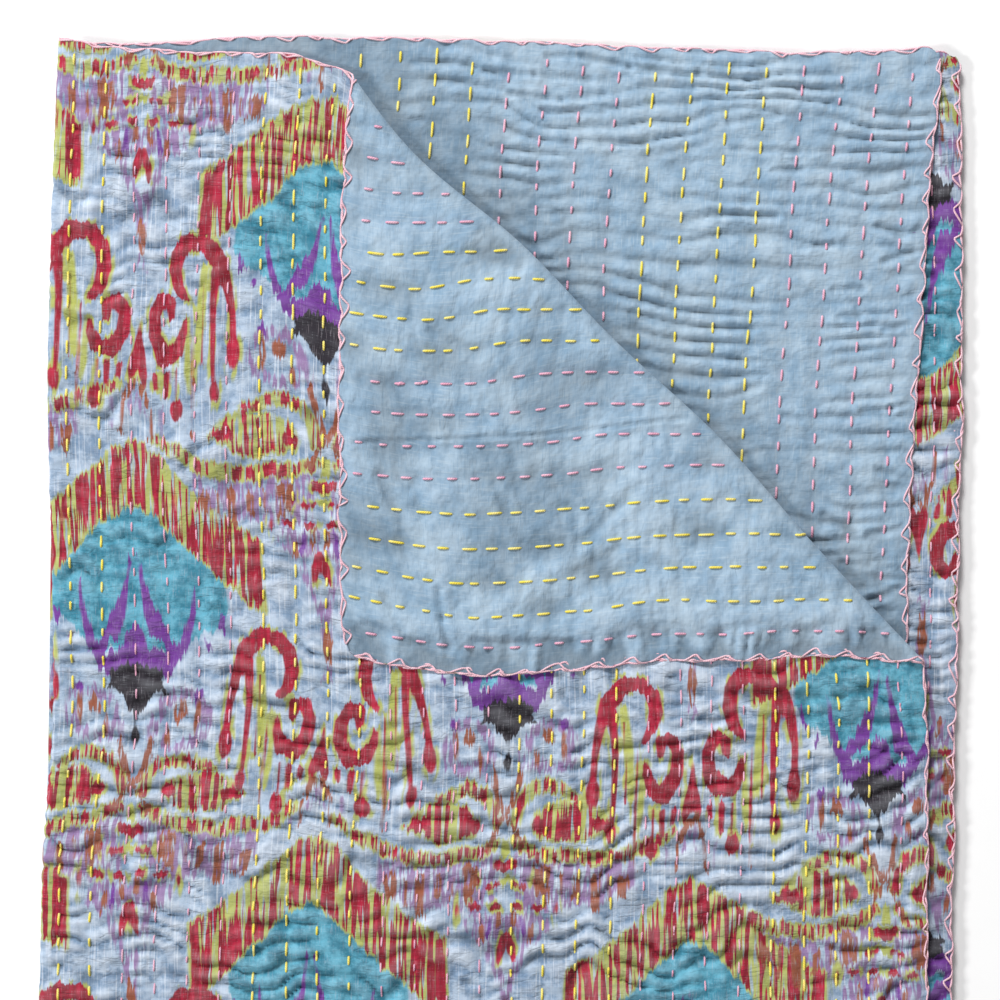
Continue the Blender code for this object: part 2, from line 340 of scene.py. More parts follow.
# The creases that show most, as rows of Crease in millimetres: on the top layer first, and then on the turned
# corner and the layer below it
CREASE_ROWS = (
    (-223.3, 333.2, -214.2, 332.5, -1.0, 1.6),
    (-233.8, 322.7, -213.5, 322.7, -1.4, 1.8),
    (-210.0, 375.2, -205.1, 352.8, 1.2, 1.8),
    (-147.7, 329.4, -125.3, 329.4, -1.4, 1.8),
    (-166.6, 289.8, -140.0, 294.7, -1.8, 2.0),
    (-139.3, 356.3, -114.8, 352.8, -1.4, 1.8),
    (-178.5, 325.5, -159.6, 325.5, -1.0, 1.6),
    (-166.6, 284.2, -159.6, 270.2, 1.0, 1.8),
    (-196.7, 235.2, -182.7, 234.5, -1.2, 1.6),
    (-172.9, 200.9, -167.3, 193.2, -1.2, 1.6),
    (-155.4, 139.3, -114.1, 138.6, -1.4, 1.8),
    (-224.7, 158.2, -210.7, 140.0, 1.4, 2.0),
    (-214.9, 130.9, -186.2, 119.7, 1.6, 2.2),
    (-242.2, 92.4, -233.8, 98.0, -1.4, 1.8),
    (-209.3, 92.4, -209.3, 78.4, -1.0, 1.4),
    (-165.2, 123.2, -144.2, 123.9, -1.2, 1.8),
    (-179.9, 95.9, -167.3, 95.9, -1.2, 1.6),
    (-139.3, 81.2, -114.1, 81.9, -1.2, 1.8),
    (-134.4, 56.0, -114.1, 58.1, -1.6, 2.0),
    (-142.1, 25.9, -128.1, 8.4, -1.4, 1.8),
    (-194.6, -17.5, -138.6, -19.6, -1.8, 2.2),
    (-170.1, -37.1, -142.1, -47.6, -1.4, 1.8),
    (-75.6, -7.7, -37.1, -9.1, -1.4, 2.0),
    (-191.1, -81.2, -173.6, -82.6, -1.6, 1.8),
    (-247.1, -79.1, -212.1, -76.3, -1.8, 2.2),
    (-166.6, -135.1, -149.1, -132.3, -1.4, 1.8),
    (-187.6, -170.1, -149.1, -177.1, -1.8, 2.2),
    (-247.1, -145.6, -219.1, -147.7, -1.4, 1.8),
    (-58.1, -143.5, -14.0, -135.1, -2.0, 2.2),
    (-58.1, -56.0, -9.1, -61.6, -1.4, 2.2),
    (28.0, -121.1, 46.2, -125.3, 1.4, 2.0),
    (43.4, -124.6, 91.0, -128.8, -2.2, 2.4),
    (52.5, -52.5, 94.5, -49.7, -1.8, 2.2),
    (39.9, -25.9, 63.7, -25.9, -1.4, 1.8),
    (131.6, -16.1, 131.6, -79.1, -1.4, 1.2),
    (132.3, -74.2, 161.0, -74.2, -1.8, 1.6),
    (161.7, -68.6, 193.9, -70.0, -1.6, 1.8),
    (137.9, -32.2, 161.7, -28.7, -1.6, 1.8),
    (117.6, -61.6, 128.1, -61.6, -1.2, 1.4),
    (157.5, -135.1, 158.2, -226.1, -1.6, 1.3),
    (130.9, -156.1, 132.3, -198.1, -1.2, 1.2),
    (39.9, -179.2, 95.9, -179.9, -1.4, 3.0),
    (132.3, -185.5, 151.9, -185.5, -1.4, 1.8),
    (179.9, -177.1, 214.9, -184.1, -1.8, 2.2),
    (-28.0, -214.2, -1.4, -219.1, -1.4, 1.8),
    (25.2, -217.7, 36.4, -224.0, -1.4, 1.8),
    (224.0, -95.0, 260.0, -101.0, -1.6, 2.0),
    (235.0, -140.0, 275.0, -135.0, -1.4, 2.0),
    (218.0, -215.0, 256.0, -208.0, -1.6, 2.0),
    (-300.0, -50.0, -275.0, -52.0, -1.4, 1.8),
    (-305.0, -195.0, -270.0, -190.0, -1.6, 2.0),
    (-295.0, 190.0, -270.0, 195.0, -1.4, 1.8),
    (-290.0, 30.0, -265.0, 25.0, -1.4, 1.8),
    (30.8, 436.1, 56.0, 436.1, -1.4, 2.0),
    (56.0, 436.1, 88.9, 428.4, -1.6, 2.0),
    (88.9, 428.4, 137.9, 424.2, -1.8, 2.2),
    (137.9, 425.6, 172.9, 419.3, -1.8, 2.2),
    (172.9, 419.3, 207.9, 413.0, -1.6, 2.2),
    (207.9, 413.0, 240.1, 414.4, -1.4, 2.0),
    (95.9, 436.1, 141.4, 431.9, -1.2, 1.8),
    (-12.6, 425.6, 22.4, 422.8, -1.4, 2.0),
    (22.4, 422.8, 60.9, 419.3, -1.2, 2.0),
    (5.6, 409.5, 41.3, 405.3, -1.4, 2.0),
    (41.3, 405.3, 71.4, 408.1, -1.2, 2.0),
    (28.0, 398.3, 71.4, 395.5, -1.2, 1.8),
    (56.0, 376.6, 99.4, 375.2, -1.4, 2.0),
    (158.9, 389.2, 194.6, 394.1, -1.2, 1.8),
    (189.7, 354.9, 210.0, 356.3, -1.2, 1.8),
    (146.3, 326.9, 191.8, 322.0, -1.4, 2.0),
    (162.4, 370.3, 207.9, 368.9, -1.2, 1.8),
    (268.1, 291.9, 288.4, 298.9, -1.8, 2.0),
    (207.2, 300.3, 232.4, 304.5, -1.2, 1.8),
    (232.4, 271.6, 252.7, 272.3, -1.2, 1.8),
    (235.2, 251.3, 250.6, 252.0, -1.2, 1.8),
    (252.7, 186.9, 273.0, 188.3, -1.8, 2.0),
    (273.0, 188.3, 287.0, 192.5, -1.6, 2.0),
    (197.4, 183.4, 210.0, 180.6, -1.0, 1.8),
    (225.4, 113.4, 247.8, 100.8, -1.2, 2.6),
    (257.6, 53.9, 277.9, 61.6, -1.8, 2.0),
    (238.0, 80.5, 257.6, 78.4, -1.0, 1.8),
    (-103.6, 164.5, -44.8, 166.6, -0.9, 1.3),
    (-44.8, 166.6, 21.0, 169.4, -0.9, 1.3),
    (21.0, 169.4, 71.4, 174.3, -0.9, 1.3),
    (71.4, 174.3, 130.9, 182.0, -0.9, 1.3),
    (56.0, 95.9, 94.5, 131.6, -1.2, 3.2),
    (39.9, 67.9, 81.9, 90.3, -1.0, 3.4),
    (-83.3, 55.3, -70.7, 32.9, -1.0, 2.8),
    (-44.8, 60.9, -42.7, 40.6, -1.4, 2.2),
    (-42.7, 40.6, -37.8, 20.3, -1.4, 2.2),
    (-19.6, 25.2, 46.2, 22.4, -1.2, 2.2),
    (-95.9, 37.8, -60.2, 22.4, -1.0, 2.8),
    (-86.1, 141.4, -73.5, 109.9, -0.9, 3.0),
    (95.9, 81.9, 137.9, 69.3, -0.8, 3.2),
    (151.9, 46.9, 200.9, 53.9, -0.8, 2.8),
    (-2.1, 123.9, 11.9, 95.9, -0.7, 3.0),
    (-51.1, 242.9, -16.1, 227.5, -0.7, 3.0),
    (-23.1, 298.9, 11.9, 286.3, -0.7, 3.0),
    (263.9, 316.4, 281.4, 309.4, -1.2, 2.0),
    (267.4, 242.9, 286.3, 248.5, -1.4, 2.0),
    (263.9, 144.9, 283.5, 139.3, -1.4, 2.0),
    (255.5, 99.4, 281.4, 104.3, -1.4, 2.0),
    (162.4, -12.6, 237.3, -14.0, -3.4, 3.6),
    (237.3, -14.0, 263.9, -6.3, -2.6, 3.0),
    (155.4, -72.8, 200.9, -70.7, -1.6, 1.8),
    (200.9, -70.7, 242.9, -74.9, -1.2, 1.8),
    (273.0, -90.3, 296.1, -90.3, -1.6, 1.4),
    (165.9, -184.1, 232.4, -189.7, -1.6, 2.4),
    (232.4, -189.7, 277.9, -198.1, -1.4, 2.2),
    (200.9, -121.1, 242.9, -128.1, -1.2, 2.0),
    (242.9, -156.1, 288.4, -149.1, 1.2, 2.0),
    (249.9, -173.6, 291.9, -180.6, -1.2, 1.8),
    (106.4, -16.1, 109.9, -65.1, -1.2, 1.4),
    (169.4, -100.1, 171.5, -198.1, -1.0, 1.2),
    (158.9, -40.6, 193.9, -45.5, -1.2, 2.0),
    (-310.1, -79.1, -268.1, -77.7, -1.4, 2.0),
    (-317.1, -121.1, -282.1, -126.7, -1.2, 2.0),
    (-261.1, -144.9, -212.1, -159.6, -1.4, 2.2),
    (-163.1, -129.5, -114.1, -121.1, -1.6, 2.0),
    (-240.1, -208.6, -184.1, -203.7, -1.2, 2.2),
    (-110.6, -30.1, -58.1, -35.7, -1.4, 2.2),
    (-51.1, -61.6, 11.9, -65.1, -1.6, 2.6),
    (11.9, -119.7, 95.9, -129.5, -1.8, 2.4),
    (-100.1, -58.1, -58.1, -65.1, -1.2, 2.2),
    (-75.6, -184.1, -30.1, -173.6, -1.4, 2.0),
)
CREASES = [Crease(*(MM * value for value in row)) for row in CREASE_ROWS]


class Stroke(NamedTuple):
    """A stroke of one dye. Each point is a place beside the axis and below the apex, and a half width."""

    dye: str
    points: tuple


class Round(NamedTuple):
    """A rounded spot of one dye: its middle, and its half width and half height."""

    dye: str
    beside: float
    below: float
    wide: float
    tall: float


class Ring(NamedTuple):
    """A rounded outline of one dye: its middle, its half width and half height, and half its line's width."""

    dye: str
    beside: float
    below: float
    wide: float
    tall: float
    line: float


class Zone(NamedTuple):
    """A stretch of one dye between an upper and a lower line, each a list of distances beside and below."""

    dye: str
    upper: tuple
    lower: tuple


# One motif in millimetres, from its axis outwards and down from the top of its arch. It is the same on both
# sides of the axis
MOTIF = (
    Zone("band", ((0, 0), (16, 9), (31, 23), (46, 37), (62, 49), (88, 66)),
         ((0, 45), (16, 54), (31, 69), (44, 82), (62, 98), (74, 110), (88, 116))),
    Stroke("red", ((84, 68, 2.6), (84, 106, 4))),
    Zone("turquoise", ((0, 43), (16, 52), (31, 67), (44, 80), (62, 97)),
         ((0, 150), (21, 148), (31, 143), (42, 134), (56, 126), (62, 114))),
    Stroke("violet", ((2.5, 84, 0.8), (6, 105, 1.8), (11, 124, 4.5), (16, 137, 6))),
    Stroke("lavender", ((0, 88, 1.0), (0, 108, 2.2), (1, 124, 2.5))),
    Stroke("violet", ((40, 104, 0.8), (38, 118, 1.8), (34, 132, 2.4), (29, 146, 3))),
    Stroke("violet", ((58, 118, 0.9), (55, 129, 2.0))),
    Round("violet", 46, 141, 1.8, 3.5),
    Stroke("violet", ((0, 140, 7), (0, 156, 10), (16, 158, 8))),
    Stroke("violet", ((21, 140, 2.5), (25, 150, 4.5), (22, 160, 3))),
    Zone("black", ((0, 158), (9, 160), (18, 163)), ((0, 190), (6, 185), (12, 176), (18, 168))),
    Stroke("black", ((0, 186, 1.6), (0, 196, 0.8), (0, 203, 3.2), (0, 211, 0.6))),
    Stroke("black", ((14, 170, 3), (19, 175, 1.2))),
    Round("violet", 40, 176, 3, 4),
    Ring("lavender", 30, 192, 16, 16, 4),
    Round("rust", 39.5, 190, 2.2, 11),
    Round("rust", 29, 186, 4.5, 6),
    Round("rust", 21, 201, 2, 8),
    Stroke("lavender", ((9, 196, 1.2), (10, 206, 1.8))),
    Stroke("rust", ((11, 206, 1.5), (9, 216, 2.6), (5, 228, 2.6), (1.5, 236, 1.8))),
    Stroke("rust", ((1.5, 238, 1.5), (8, 250, 1.8), (13, 260, 2.0))),
    Round("band", 45, 244, 23, 14),
    Stroke("band", ((24, 244, 3.0), (45, 244, 8.0), (66, 246, 5.0), (74, 247, 1.5))),
    Round("red", 24, 244, 4.8, 5.5),
    Stroke("red", ((63, 246, 4.8), (71, 247, 2.0))),
    Stroke("band", ((7, 243, 3.0), (10, 231, 3.2), (17, 222, 3.8), (30, 219, 4.0), (42, 223, 3.4),
                    (52, 228, 2.0))),
    Stroke("band", ((8, 257, 3.2), (19, 263, 3.8), (38, 268, 4.2), (62, 270, 4.2), (84, 266, 4.0),
                    (104, 257, 3.6), (116, 249, 2.4))),
    Zone("lavender", ((6, 264), (25, 269), (46, 273), (66, 271), (88, 262)),
         ((6, 302), (25, 308), (46, 305), (66, 302), (88, 290))),
    Stroke("rust", ((22, 275, 2), (22, 291, 2))),
    Stroke("rust", ((28, 276, 3.4), (27, 297, 3.0))),
    Stroke("rust", ((48, 285, 2.6), (48, 297, 2.4))),
    Stroke("rust", ((61, 283, 3.4), (60, 306, 2.8))),
    Stroke("rust", ((80, 287, 4.5), (79, 296, 3.5))),
    Stroke("rust", ((38, 283, 1.2), (38, 295, 1.0))),
    Stroke("rust", ((70, 284, 1.2), (70, 300, 1.2))),
    Stroke("lime", ((0, 256, 2.6), (0, 265, 3.4))),
    Stroke("red", ((0, 275, 3.8), (5, 273.5, 3.4), (7.5, 270, 1.5))),
    Round("lime", 0, 285, 5, 3),
    Round("red", 6, 287, 2.2, 2.4),
    Round("red", 12, 288, 2.6, 2.8),
    Round("red", 20, 285, 1.6, 4),
    Round("red", 7.5, 303, 4, 3),
    Round("red", 22, 303, 5, 2.6),
    Round("red", 34, 306, 1.6, 5),
    Zone("lavender", ((0, 308), (20, 306), (30, 312)), ((0, 324), (18, 330), (30, 320))),
    Stroke("rust", ((5, 308, 1.8), (5, 317, 2.2))),
    Stroke("rust", ((17, 317, 2.0), (17, 326, 2.2))),
    Stroke("violet", ((11, 310, 1.5), (12, 322, 2.0))),
    Stroke("red", ((1, 324, 2.0), (3.5, 334, 3.2), (5.5, 344, 1.5))),
    Stroke("lavender", ((14, 328, 2.4), (11, 342, 2.6), (4, 356, 3), (0, 366, 4.5), (0, 380, 3.5),
                        (0, 394, 1.2))),
    Stroke("rust", ((0, 375, 2.0), (0, 385, 3.8), (0, 397, 2.0))),
    Stroke("lavender", ((0, 399, 1.4), (3, 409, 1.8))),
    Stroke("red", ((71, 452, 2.4), (70, 434, 2.2), (66, 414, 3.6), (59, 397, 6.4), (47, 385, 5.6),
                   (36, 384, 5.4), (28, 393, 5.4), (26, 406, 5.0), (29, 419, 4.2), (35, 426, 2.6))),
    Round("red", 71, 461, 4.6, 12),
    Stroke("red", ((57, 404, 3.4), (56, 430, 2.4), (57, 470, 1.8), (58, 484, 1.6))),
    Round("red", 58.5, 489, 3.6, 8),
    Stroke("lime", ((49, 402, 3.0), (47, 430, 3.6), (45, 468, 2.6))),
    Stroke("lime", ((37, 440, 1.6), (38, 474, 2.6), (40, 490, 1.4))),
    Stroke("red", ((49, 412, 0.7), (49, 470, 0.9))),
    Stroke("red", ((41, 432, 0.6), (42, 476, 1.3), (42, 500, 0.7))),
    Stroke("rust", ((43, 484, 1.2), (42, 516, 0.8))),
    Stroke("red", ((24, 440, 2.6), (23, 430, 4.4), (16, 428, 4.6), (11, 438, 4.4), (12, 452, 5.0),
                   (20, 463, 6.4), (29, 461, 5.4), (34, 450, 3.2), (35, 442, 1.8))),
    Stroke("red", ((13, 474, 2.2), (14, 482, 1.8))),
    Stroke("red", ((22, 474, 2.4), (22, 490, 1.8))),
    Stroke("red", ((29, 472, 1.2), (29, 498, 0.9))),
    Round("red", 30, 500, 5, 8),
    Stroke("red", ((0, 443, 0.5), (0, 458, 3.0), (1.5, 468, 4.6), (4.5, 476, 3.0), (5, 482, 1.2))),
    Stroke("rust", ((3, 482, 2.6), (8, 494, 2.6))),
    Stroke("lavender", ((2, 490, 2.4), (5, 502, 2.0))),
    Stroke("rust", ((10, 497, 1.4), (11, 518, 1.4))),
    Stroke("lavender", ((18, 498, 1.4), (18, 518, 1.2))),
)

DYES = ("red", "band", "lime", "turquoise", "violet", "black", "lavender", "rust")


def smooth(share):
    """A soft step from 0 to 1."""
    share = np.clip(share, 0.0, 1.0)
    return share * share * (3.0 - 2.0 * share)


def along_curve(rows, column, at):
    """One column of a table as a smooth curve through its rows, at the places `at`."""
    places = np.array([row[0] for row in rows])
    values = np.array([getattr(row, column) for row in rows])
    slopes = np.gradient(values, places)
    i = np.clip(np.searchsorted(places, at) - 1, 0, len(places) - 2)
    width = places[i + 1] - places[i]
    f = np.clip((at - places[i]) / width, 0.0, 1.0)
    start = values[i] * (2 * f**3 - 3 * f**2 + 1) + slopes[i] * width * (f**3 - 2 * f**2 + f)
    return start + values[i + 1] * (3 * f**2 - 2 * f**3) + slopes[i + 1] * width * (f**3 - f**2)


def cloudy(across, along, wide, tall, seed):
    """Soft seeded noise from -1 to 1, with clouds `wide` across and `tall` along."""
    shape = (int(WIDTH / wide) + 4, int(LENGTH / tall) + 4)
    lattice = np.random.default_rng(seed).uniform(-1.0, 1.0, shape)
    u = np.clip(across / wide + 1.0, 0.0, shape[0] - 1.001)
    v = np.clip(along / tall + 1.0, 0.0, shape[1] - 1.001)
    i = u.astype(int)
    j = v.astype(int)
    f = smooth(u - i)
    g = smooth(v - j)
    near = lattice[i, j] * (1 - f) + lattice[i + 1, j] * f
    far = lattice[i, j + 1] * (1 - f) + lattice[i + 1, j + 1] * f
    return near * (1 - g) + far * g


def stitch_rows():
    """The rows' distances across the flat throw, from one side hem to the other, hems included."""
    top = [FIRST_ROW + TOP_ROW_PITCH * i for i in range(TOP_ROWS)]
    under = [WIDTH - FIRST_ROW - UNDER_ROW_PITCH * i for i in reversed(range(UNDER_ROWS))]
    return np.array([0.0, *top, *under, WIDTH])


def rounded(across, along):
    """The flat throw's four corners, rounded a little."""
    right = across > SIDE_FOLD
    far = along > FOOT_FOLD
    a = np.clip(CORNER_ROUND - np.where(right, WIDTH - across, across), 0.0, None)
    b = np.clip(CORNER_ROUND - np.where(far, LENGTH - along, along), 0.0, None)
    pull = np.maximum(a, b) / np.maximum(np.hypot(a, b), 1e-9)
    pull = np.where((a > 0) & (b > 0), 1.0 - pull, 0.0)
    return across + np.where(right, -a, a) * pull, along + np.where(far, -b, b) * pull


def uneven_hems(across, along):
    """Flat places near a hem, moved a little so that it runs unevenly."""
    from_side = np.minimum(across, WIDTH - across)
    from_end = np.minimum(along, LENGTH - along)
    sideways = cloudy(across, along, 0.300, 0.011, 21) + cloudy(across, along, 0.300, 0.034, 22)
    endways = cloudy(across, along, 0.011, 0.300, 23) + cloudy(across, along, 0.034, 0.300, 24)
    moved = across + HEM_WANDER * sideways * np.exp(-((from_side / HEM) ** 2))
    return moved, along + HEM_WANDER * endways * np.exp(-((from_end / HEM) ** 2))


def turn_corner(across, along):
    """The corner turned back on its crease: new flat places, and the height that the turn gains."""
    beyond = (CORNER_LEG - across - along) / math.sqrt(2)
    angle = np.clip((beyond + HALF_ARC) / FOLD_RADIUS, 0.0, math.pi)
    arc = -HALF_ARC + FOLD_RADIUS * np.sin(angle)
    placed = np.where(beyond > HALF_ARC, -beyond, np.where(beyond < -HALF_ARC, beyond, arc))
    moved = (beyond - placed) / math.sqrt(2)
    across = across + moved
    along = along + moved
    inside = np.maximum(-placed, 0.0)

    share = (along - across + CORNER_LEG) / (2 * CORNER_LEG)
    bow = along_curve(CREASE, "away", share) * np.exp(-((inside / CREASE_REACH) ** 2))
    drop = along_curve(FLAP_HEM, "away", across) * smooth(beyond / FLAP_REACH)
    lift = FOLD_RADIUS * (1.0 - np.cos(angle))
    return across - bow / math.sqrt(2), along - bow / math.sqrt(2) + drop, lift


def laid(across, along):
    """Where the middle of the quilt lies, for flat places given as arrays."""
    across, along = rounded(*uneven_hems(across, along))
    across, along, lift = turn_corner(across, along)

    past = across - SIDE_FOLD
    angle = np.clip((past + HALF_ARC) / FOLD_RADIUS, 0.0, math.pi)
    depth = FOLD_RADIUS * (1.0 - np.cos(angle)) - lift
    reach = np.where(np.abs(past) > HALF_ARC, np.abs(past) - HALF_ARC, -FOLD_RADIUS * np.sin(angle))
    fold = along_curve(SIDES, "fold", along) + FOLD_RADIUS
    top_hem = along_curve(SIDES, "top_hem", along)
    under_hem = along_curve(SIDES, "under_hem", along)
    full = (np.where(past < 0, top_hem, under_hem) - fold) / (SIDE_FOLD - HALF_ARC)
    x = fold + reach * np.where(reach > 0, full, 1.0)

    down = along - FOOT_FOLD
    half = FOOT_ARC / 2
    angle = np.clip((down + half) / FOOT_ARC, 0.0, 1.0) * math.pi
    radius = FOOT_RADIUS - depth
    run = np.where(np.abs(down) > half, np.abs(down) - half, -radius * np.sin(angle))
    foot = along_curve(ENDS, "foot", across) + FOOT_RADIUS
    upper = along_curve(ENDS, "upper_hem", across)
    lower = along_curve(ENDS, "lower_hem", across)
    full = (np.where(down < 0, upper, lower) - foot) / (FOOT_FOLD - half)
    y = foot + run * np.where(run > 0, full, 1.0)
    z = LOWEST + FOOT_RADIUS + radius * np.cos(angle)

    swell = sum(s.rise * np.exp(-((x - s.x) ** 2 + (y - s.y) ** 2) / s.reach**2) for s in SWELLS)
    swell = swell + SOFT_RISE * cloudy(x + 0.4, y + 0.5, 0.075, 0.055, 31)
    z = z + swell * np.clip((z - LOWEST) / (3 * PITCH), 0.0, 1.0)
    return np.stack([x, y, z], axis=-1)


def outward(across, along):
    """The quilt's normal on its face side."""
    by_across = laid(across + STEP, along) - laid(across - STEP, along)
    by_along = laid(across, along + STEP) - laid(across, along - STEP)
    normal = np.cross(by_across, by_along)
    return normal / np.linalg.norm(normal, axis=-1, keepdims=True)


def wander(across, along):
    """How far a row of stitches strays from straight."""
    wide = cloudy(across, along, 0.045, 0.080, 41)
    # On the turned corner, the rows far from its lower hem don't sag with it
    straighter = smooth((across - 0.03) / 0.13) * smooth((CORNER_LEG - across - along) / FLAP_REACH)
    sag = along_curve(FLAP_HEM, "away", np.clip(CORNER_LEG - along, 0.0, CORNER_LEG)) * straighter
    return WANDER * (wide + 0.5 * cloudy(across, along, 0.022, 0.030, 42)) - sag


def channel(across, along):
    """0 on a row of stitches and 1 midway between two rows."""
    rows = stitch_rows()
    placed = across + wander(across, along)
    i = np.clip(np.searchsorted(rows, placed) - 1, 0, len(rows) - 2)
    share = np.clip((placed - rows[i]) / (rows[i + 1] - rows[i]), 0.0, 1.0)
    return np.sin(math.pi * share)


def puckered(across, along, puckers):
    """Broad ridges with sharp troughs that cross the rows, from about -1 to 0.6 for a share of 1."""
    length, seed = puckers.length, puckers.seed
    bend = 1.1 * cloudy(across, along, length, 0.045, seed)
    bend = bend + 0.45 * cloudy(across, along, 0.3 * length, 0.024, seed + 1)
    wave = np.abs(np.sin(math.pi * (along / puckers.pitch + bend))) ** 0.65
    strength = np.clip(0.50 + 1.05 * cloudy(across, along, 0.45 * length, 0.028, seed + 2), 0.08, 1.35)
    return puckers.share * ((wave - 0.65) * 1.6 * strength)


def crinkles(across, along, wide, tall, seed):
    """Short sharp troughs that wander like a net: -1 on their lines and 0 between them."""
    line = cloudy(across, along, wide, tall, seed)
    line = line + 0.35 * cloudy(across, along, wide / 2, tall / 2, seed + 1)
    deep = np.clip(0.45 + 0.9 * cloudy(across, along, 1.5 * wide, 2 * tall, seed + 2), 0.0, 1.0)
    return -deep * np.exp(-((line / 0.20) ** 2))


def from_hem(across, along):
    """The distance to the nearest hem."""
    from_side = np.minimum(across, WIDTH - across)
    return np.maximum(np.minimum(from_side, np.minimum(along, LENGTH - along)), 0.0)


def shown(side, across, along):
    """1 where this side of the quilt shows, and 0 where it lies against another layer."""
    turned = (CORNER_LEG - across - along) / math.sqrt(2)
    if side > 0:
        hem = CORNER_LEG + along_curve(FLAP_HEM, "away", np.clip(across, 0.0, CORNER_LEG))
        covered = smooth(np.minimum(CORNER_LEG - across, hem - along) / FADE)
        top = smooth((-turned - HALF_ARC) / FADE) * (1.0 - covered)
        top = top * (1.0 - smooth((across - SIDE_FOLD + FOLD_FADE_START) / FOLD_FADE))
        top = top * (1.0 - smooth((along - FOOT_FOLD + FOLD_FADE_START) / FOLD_FADE))
        strip = smooth((across - STRIP_START) / 0.015) * smooth((along - FOOT_FOLD - 0.015) / 0.010)
        return top + strip
    corner = smooth((turned - HALF_ARC) / FADE)
    return corner + smooth((across - along - UNDER_START) / 0.012)


def creased(x, y):
    """The height of the listed creases, at these places seen from above."""
    height = np.zeros_like(x)
    for c in CREASES:
        run = np.array([c.x2 - c.x1, c.y2 - c.y1])
        share = np.clip(((x - c.x1) * run[0] + (y - c.y1) * run[1]) / (run @ run), 0.0, 1.0)
        away = np.hypot(x - c.x1 - share * run[0], y - c.y1 - share * run[1]) / c.wide
        height += c.height * (np.exp(-(away**2)) - 0.45 * np.exp(-(((away - 2.4) / 1.2) ** 2)))
    return height


def face_relief(sizes, across, along):
    """The channels and puckers of the printed face, which are stronger lower down the pile."""
    ridge = channel(across, along)
    waves = puckered(across, along, BROAD_PUCKERS) + puckered(across, along, FINE_PUCKERS)
    waves = waves * (FACE_ROW_SHARE + (1.0 - FACE_ROW_SHARE) * ridge)
    waves = waves + 0.30 * crinkles(across, along, 0.034, 0.012, 67)
    waves = waves * (0.86 + 0.40 * smooth((along - ROUGHER_FROM) / ROUGHER_REACH)) + 0.10
    return sizes.puff * ridge + sizes.pucker * waves


def on_corner(across, along):
    """1 on the turned corner and 0 off it, and 1 at the corner's hem and 0 past its first row."""
    turned = smooth((CORNER_LEG - across - along) / 0.010)
    return turned, 1.0 - smooth((across - FIRST_ROW) / 0.006)


def backing_relief(sizes, across, along):
    """The channels and puckers of the backing, which lies smoother on the turned corner."""
    ridge = channel(across, along)
    turned, at_hem = on_corner(across, along)
    waves = puckered(across, along, BACKING_PUCKERS)
    waves = waves * (BACKING_ROW_SHARE + (1.0 - BACKING_ROW_SHARE) * ridge)
    waves = waves * (1.0 - turned * (0.84 - 0.50 * at_hem))
    waves = waves + 0.45 * crinkles(across, along, 0.030, 0.012, 74) * (1.0 - 0.3 * turned)
    waves = waves + 1.20 * turned * cloudy(across, along, 0.022, 0.036, 77)
    return BACKING_PUFF_SHARE * sizes.puff * ridge + BACKING_PUCKER_SHARE * sizes.pucker * waves


def loose_hem(sizes, across, along):
    """The turned corner's hem, which swells before its last row and then droops in short gathers."""
    turned, at_hem = on_corner(across, along)
    swollen = HEM_SWELL * np.exp(-(((across - HEM_SWELL_AT) / HEM_SWELL_REACH) ** 2))
    droop = HEM_DROOP * smooth((HEM_DROOP_REACH - across) / HEM_DROOP_REACH)
    gathers = HEM_GATHERS * at_hem * cloudy(across, along, 0.050, 0.012, 79)
    return sizes.pucker * turned * (swollen - droop + gathers)


def relief(side, across, along):
    """How far this side of the quilt stands proud of its even surface."""
    sizes = bpy.context.scene.throw_cloth
    places = laid(across, along)
    height = (face_relief if side > 0 else backing_relief)(sizes, across, along)
    height = height + sizes.crease * creased(places[:, 0], places[:, 1])
    height = height * (HEM_SHARE + (1.0 - HEM_SHARE) * smooth(from_hem(across, along) / HEM))
    if side < 0:
        height = height + loose_hem(sizes, across, along)
    return shown(side, across, along) * np.clip(height, DEEPEST, HIGHEST)


def surface(side, across, along, above=0.0):
    """Points on the outside of the quilt. `side` is 1 for the printed face and -1 for the backing."""
    turn = 1.0 - np.clip(from_hem(across, along) / CLOTH, 0.0, 1.0)
    offset = CLOTH_GAP / 2 + CLOTH * np.sqrt(1.0 - turn**2) + relief(side, across, along) + above
    return laid(across, along) + outward(across, along) * (side * offset)[:, None]


def needs_cells(side, across, along):
    """Whether a cell of the flat cloth shows, and so is divided finely."""
    turned = CORNER_LEG - across - along
    crease = abs(turned) < FOLD_CELLS
    if side > 0:
        covered = across < COVERED_CELLS and along < COVERED_CELLS
        top = across < TOP_CELLS[0] and along < TOP_CELLS[1] and not covered
        strip = across > STRIP_CELLS[0] and along > STRIP_CELLS[1]
        return top or strip or crease
    return turned > 0 or crease or across - along > UNDER_CELLS


def cut_cells(mesh, planes, near):
    """Edges cut where these planes, each a point and a normal, cross the faces that are `near`."""
    faces = [face for face in mesh.faces if near(*face.calc_center_median()[:2])]
    geometry = list({part for face in faces for part in (face, *face.edges, *face.verts)})
    for point, normal in planes:
        made = bmesh.ops.bisect_plane(mesh, geom=geometry, dist=1e-7, plane_co=point, plane_no=normal)
        geometry = made["geom"]


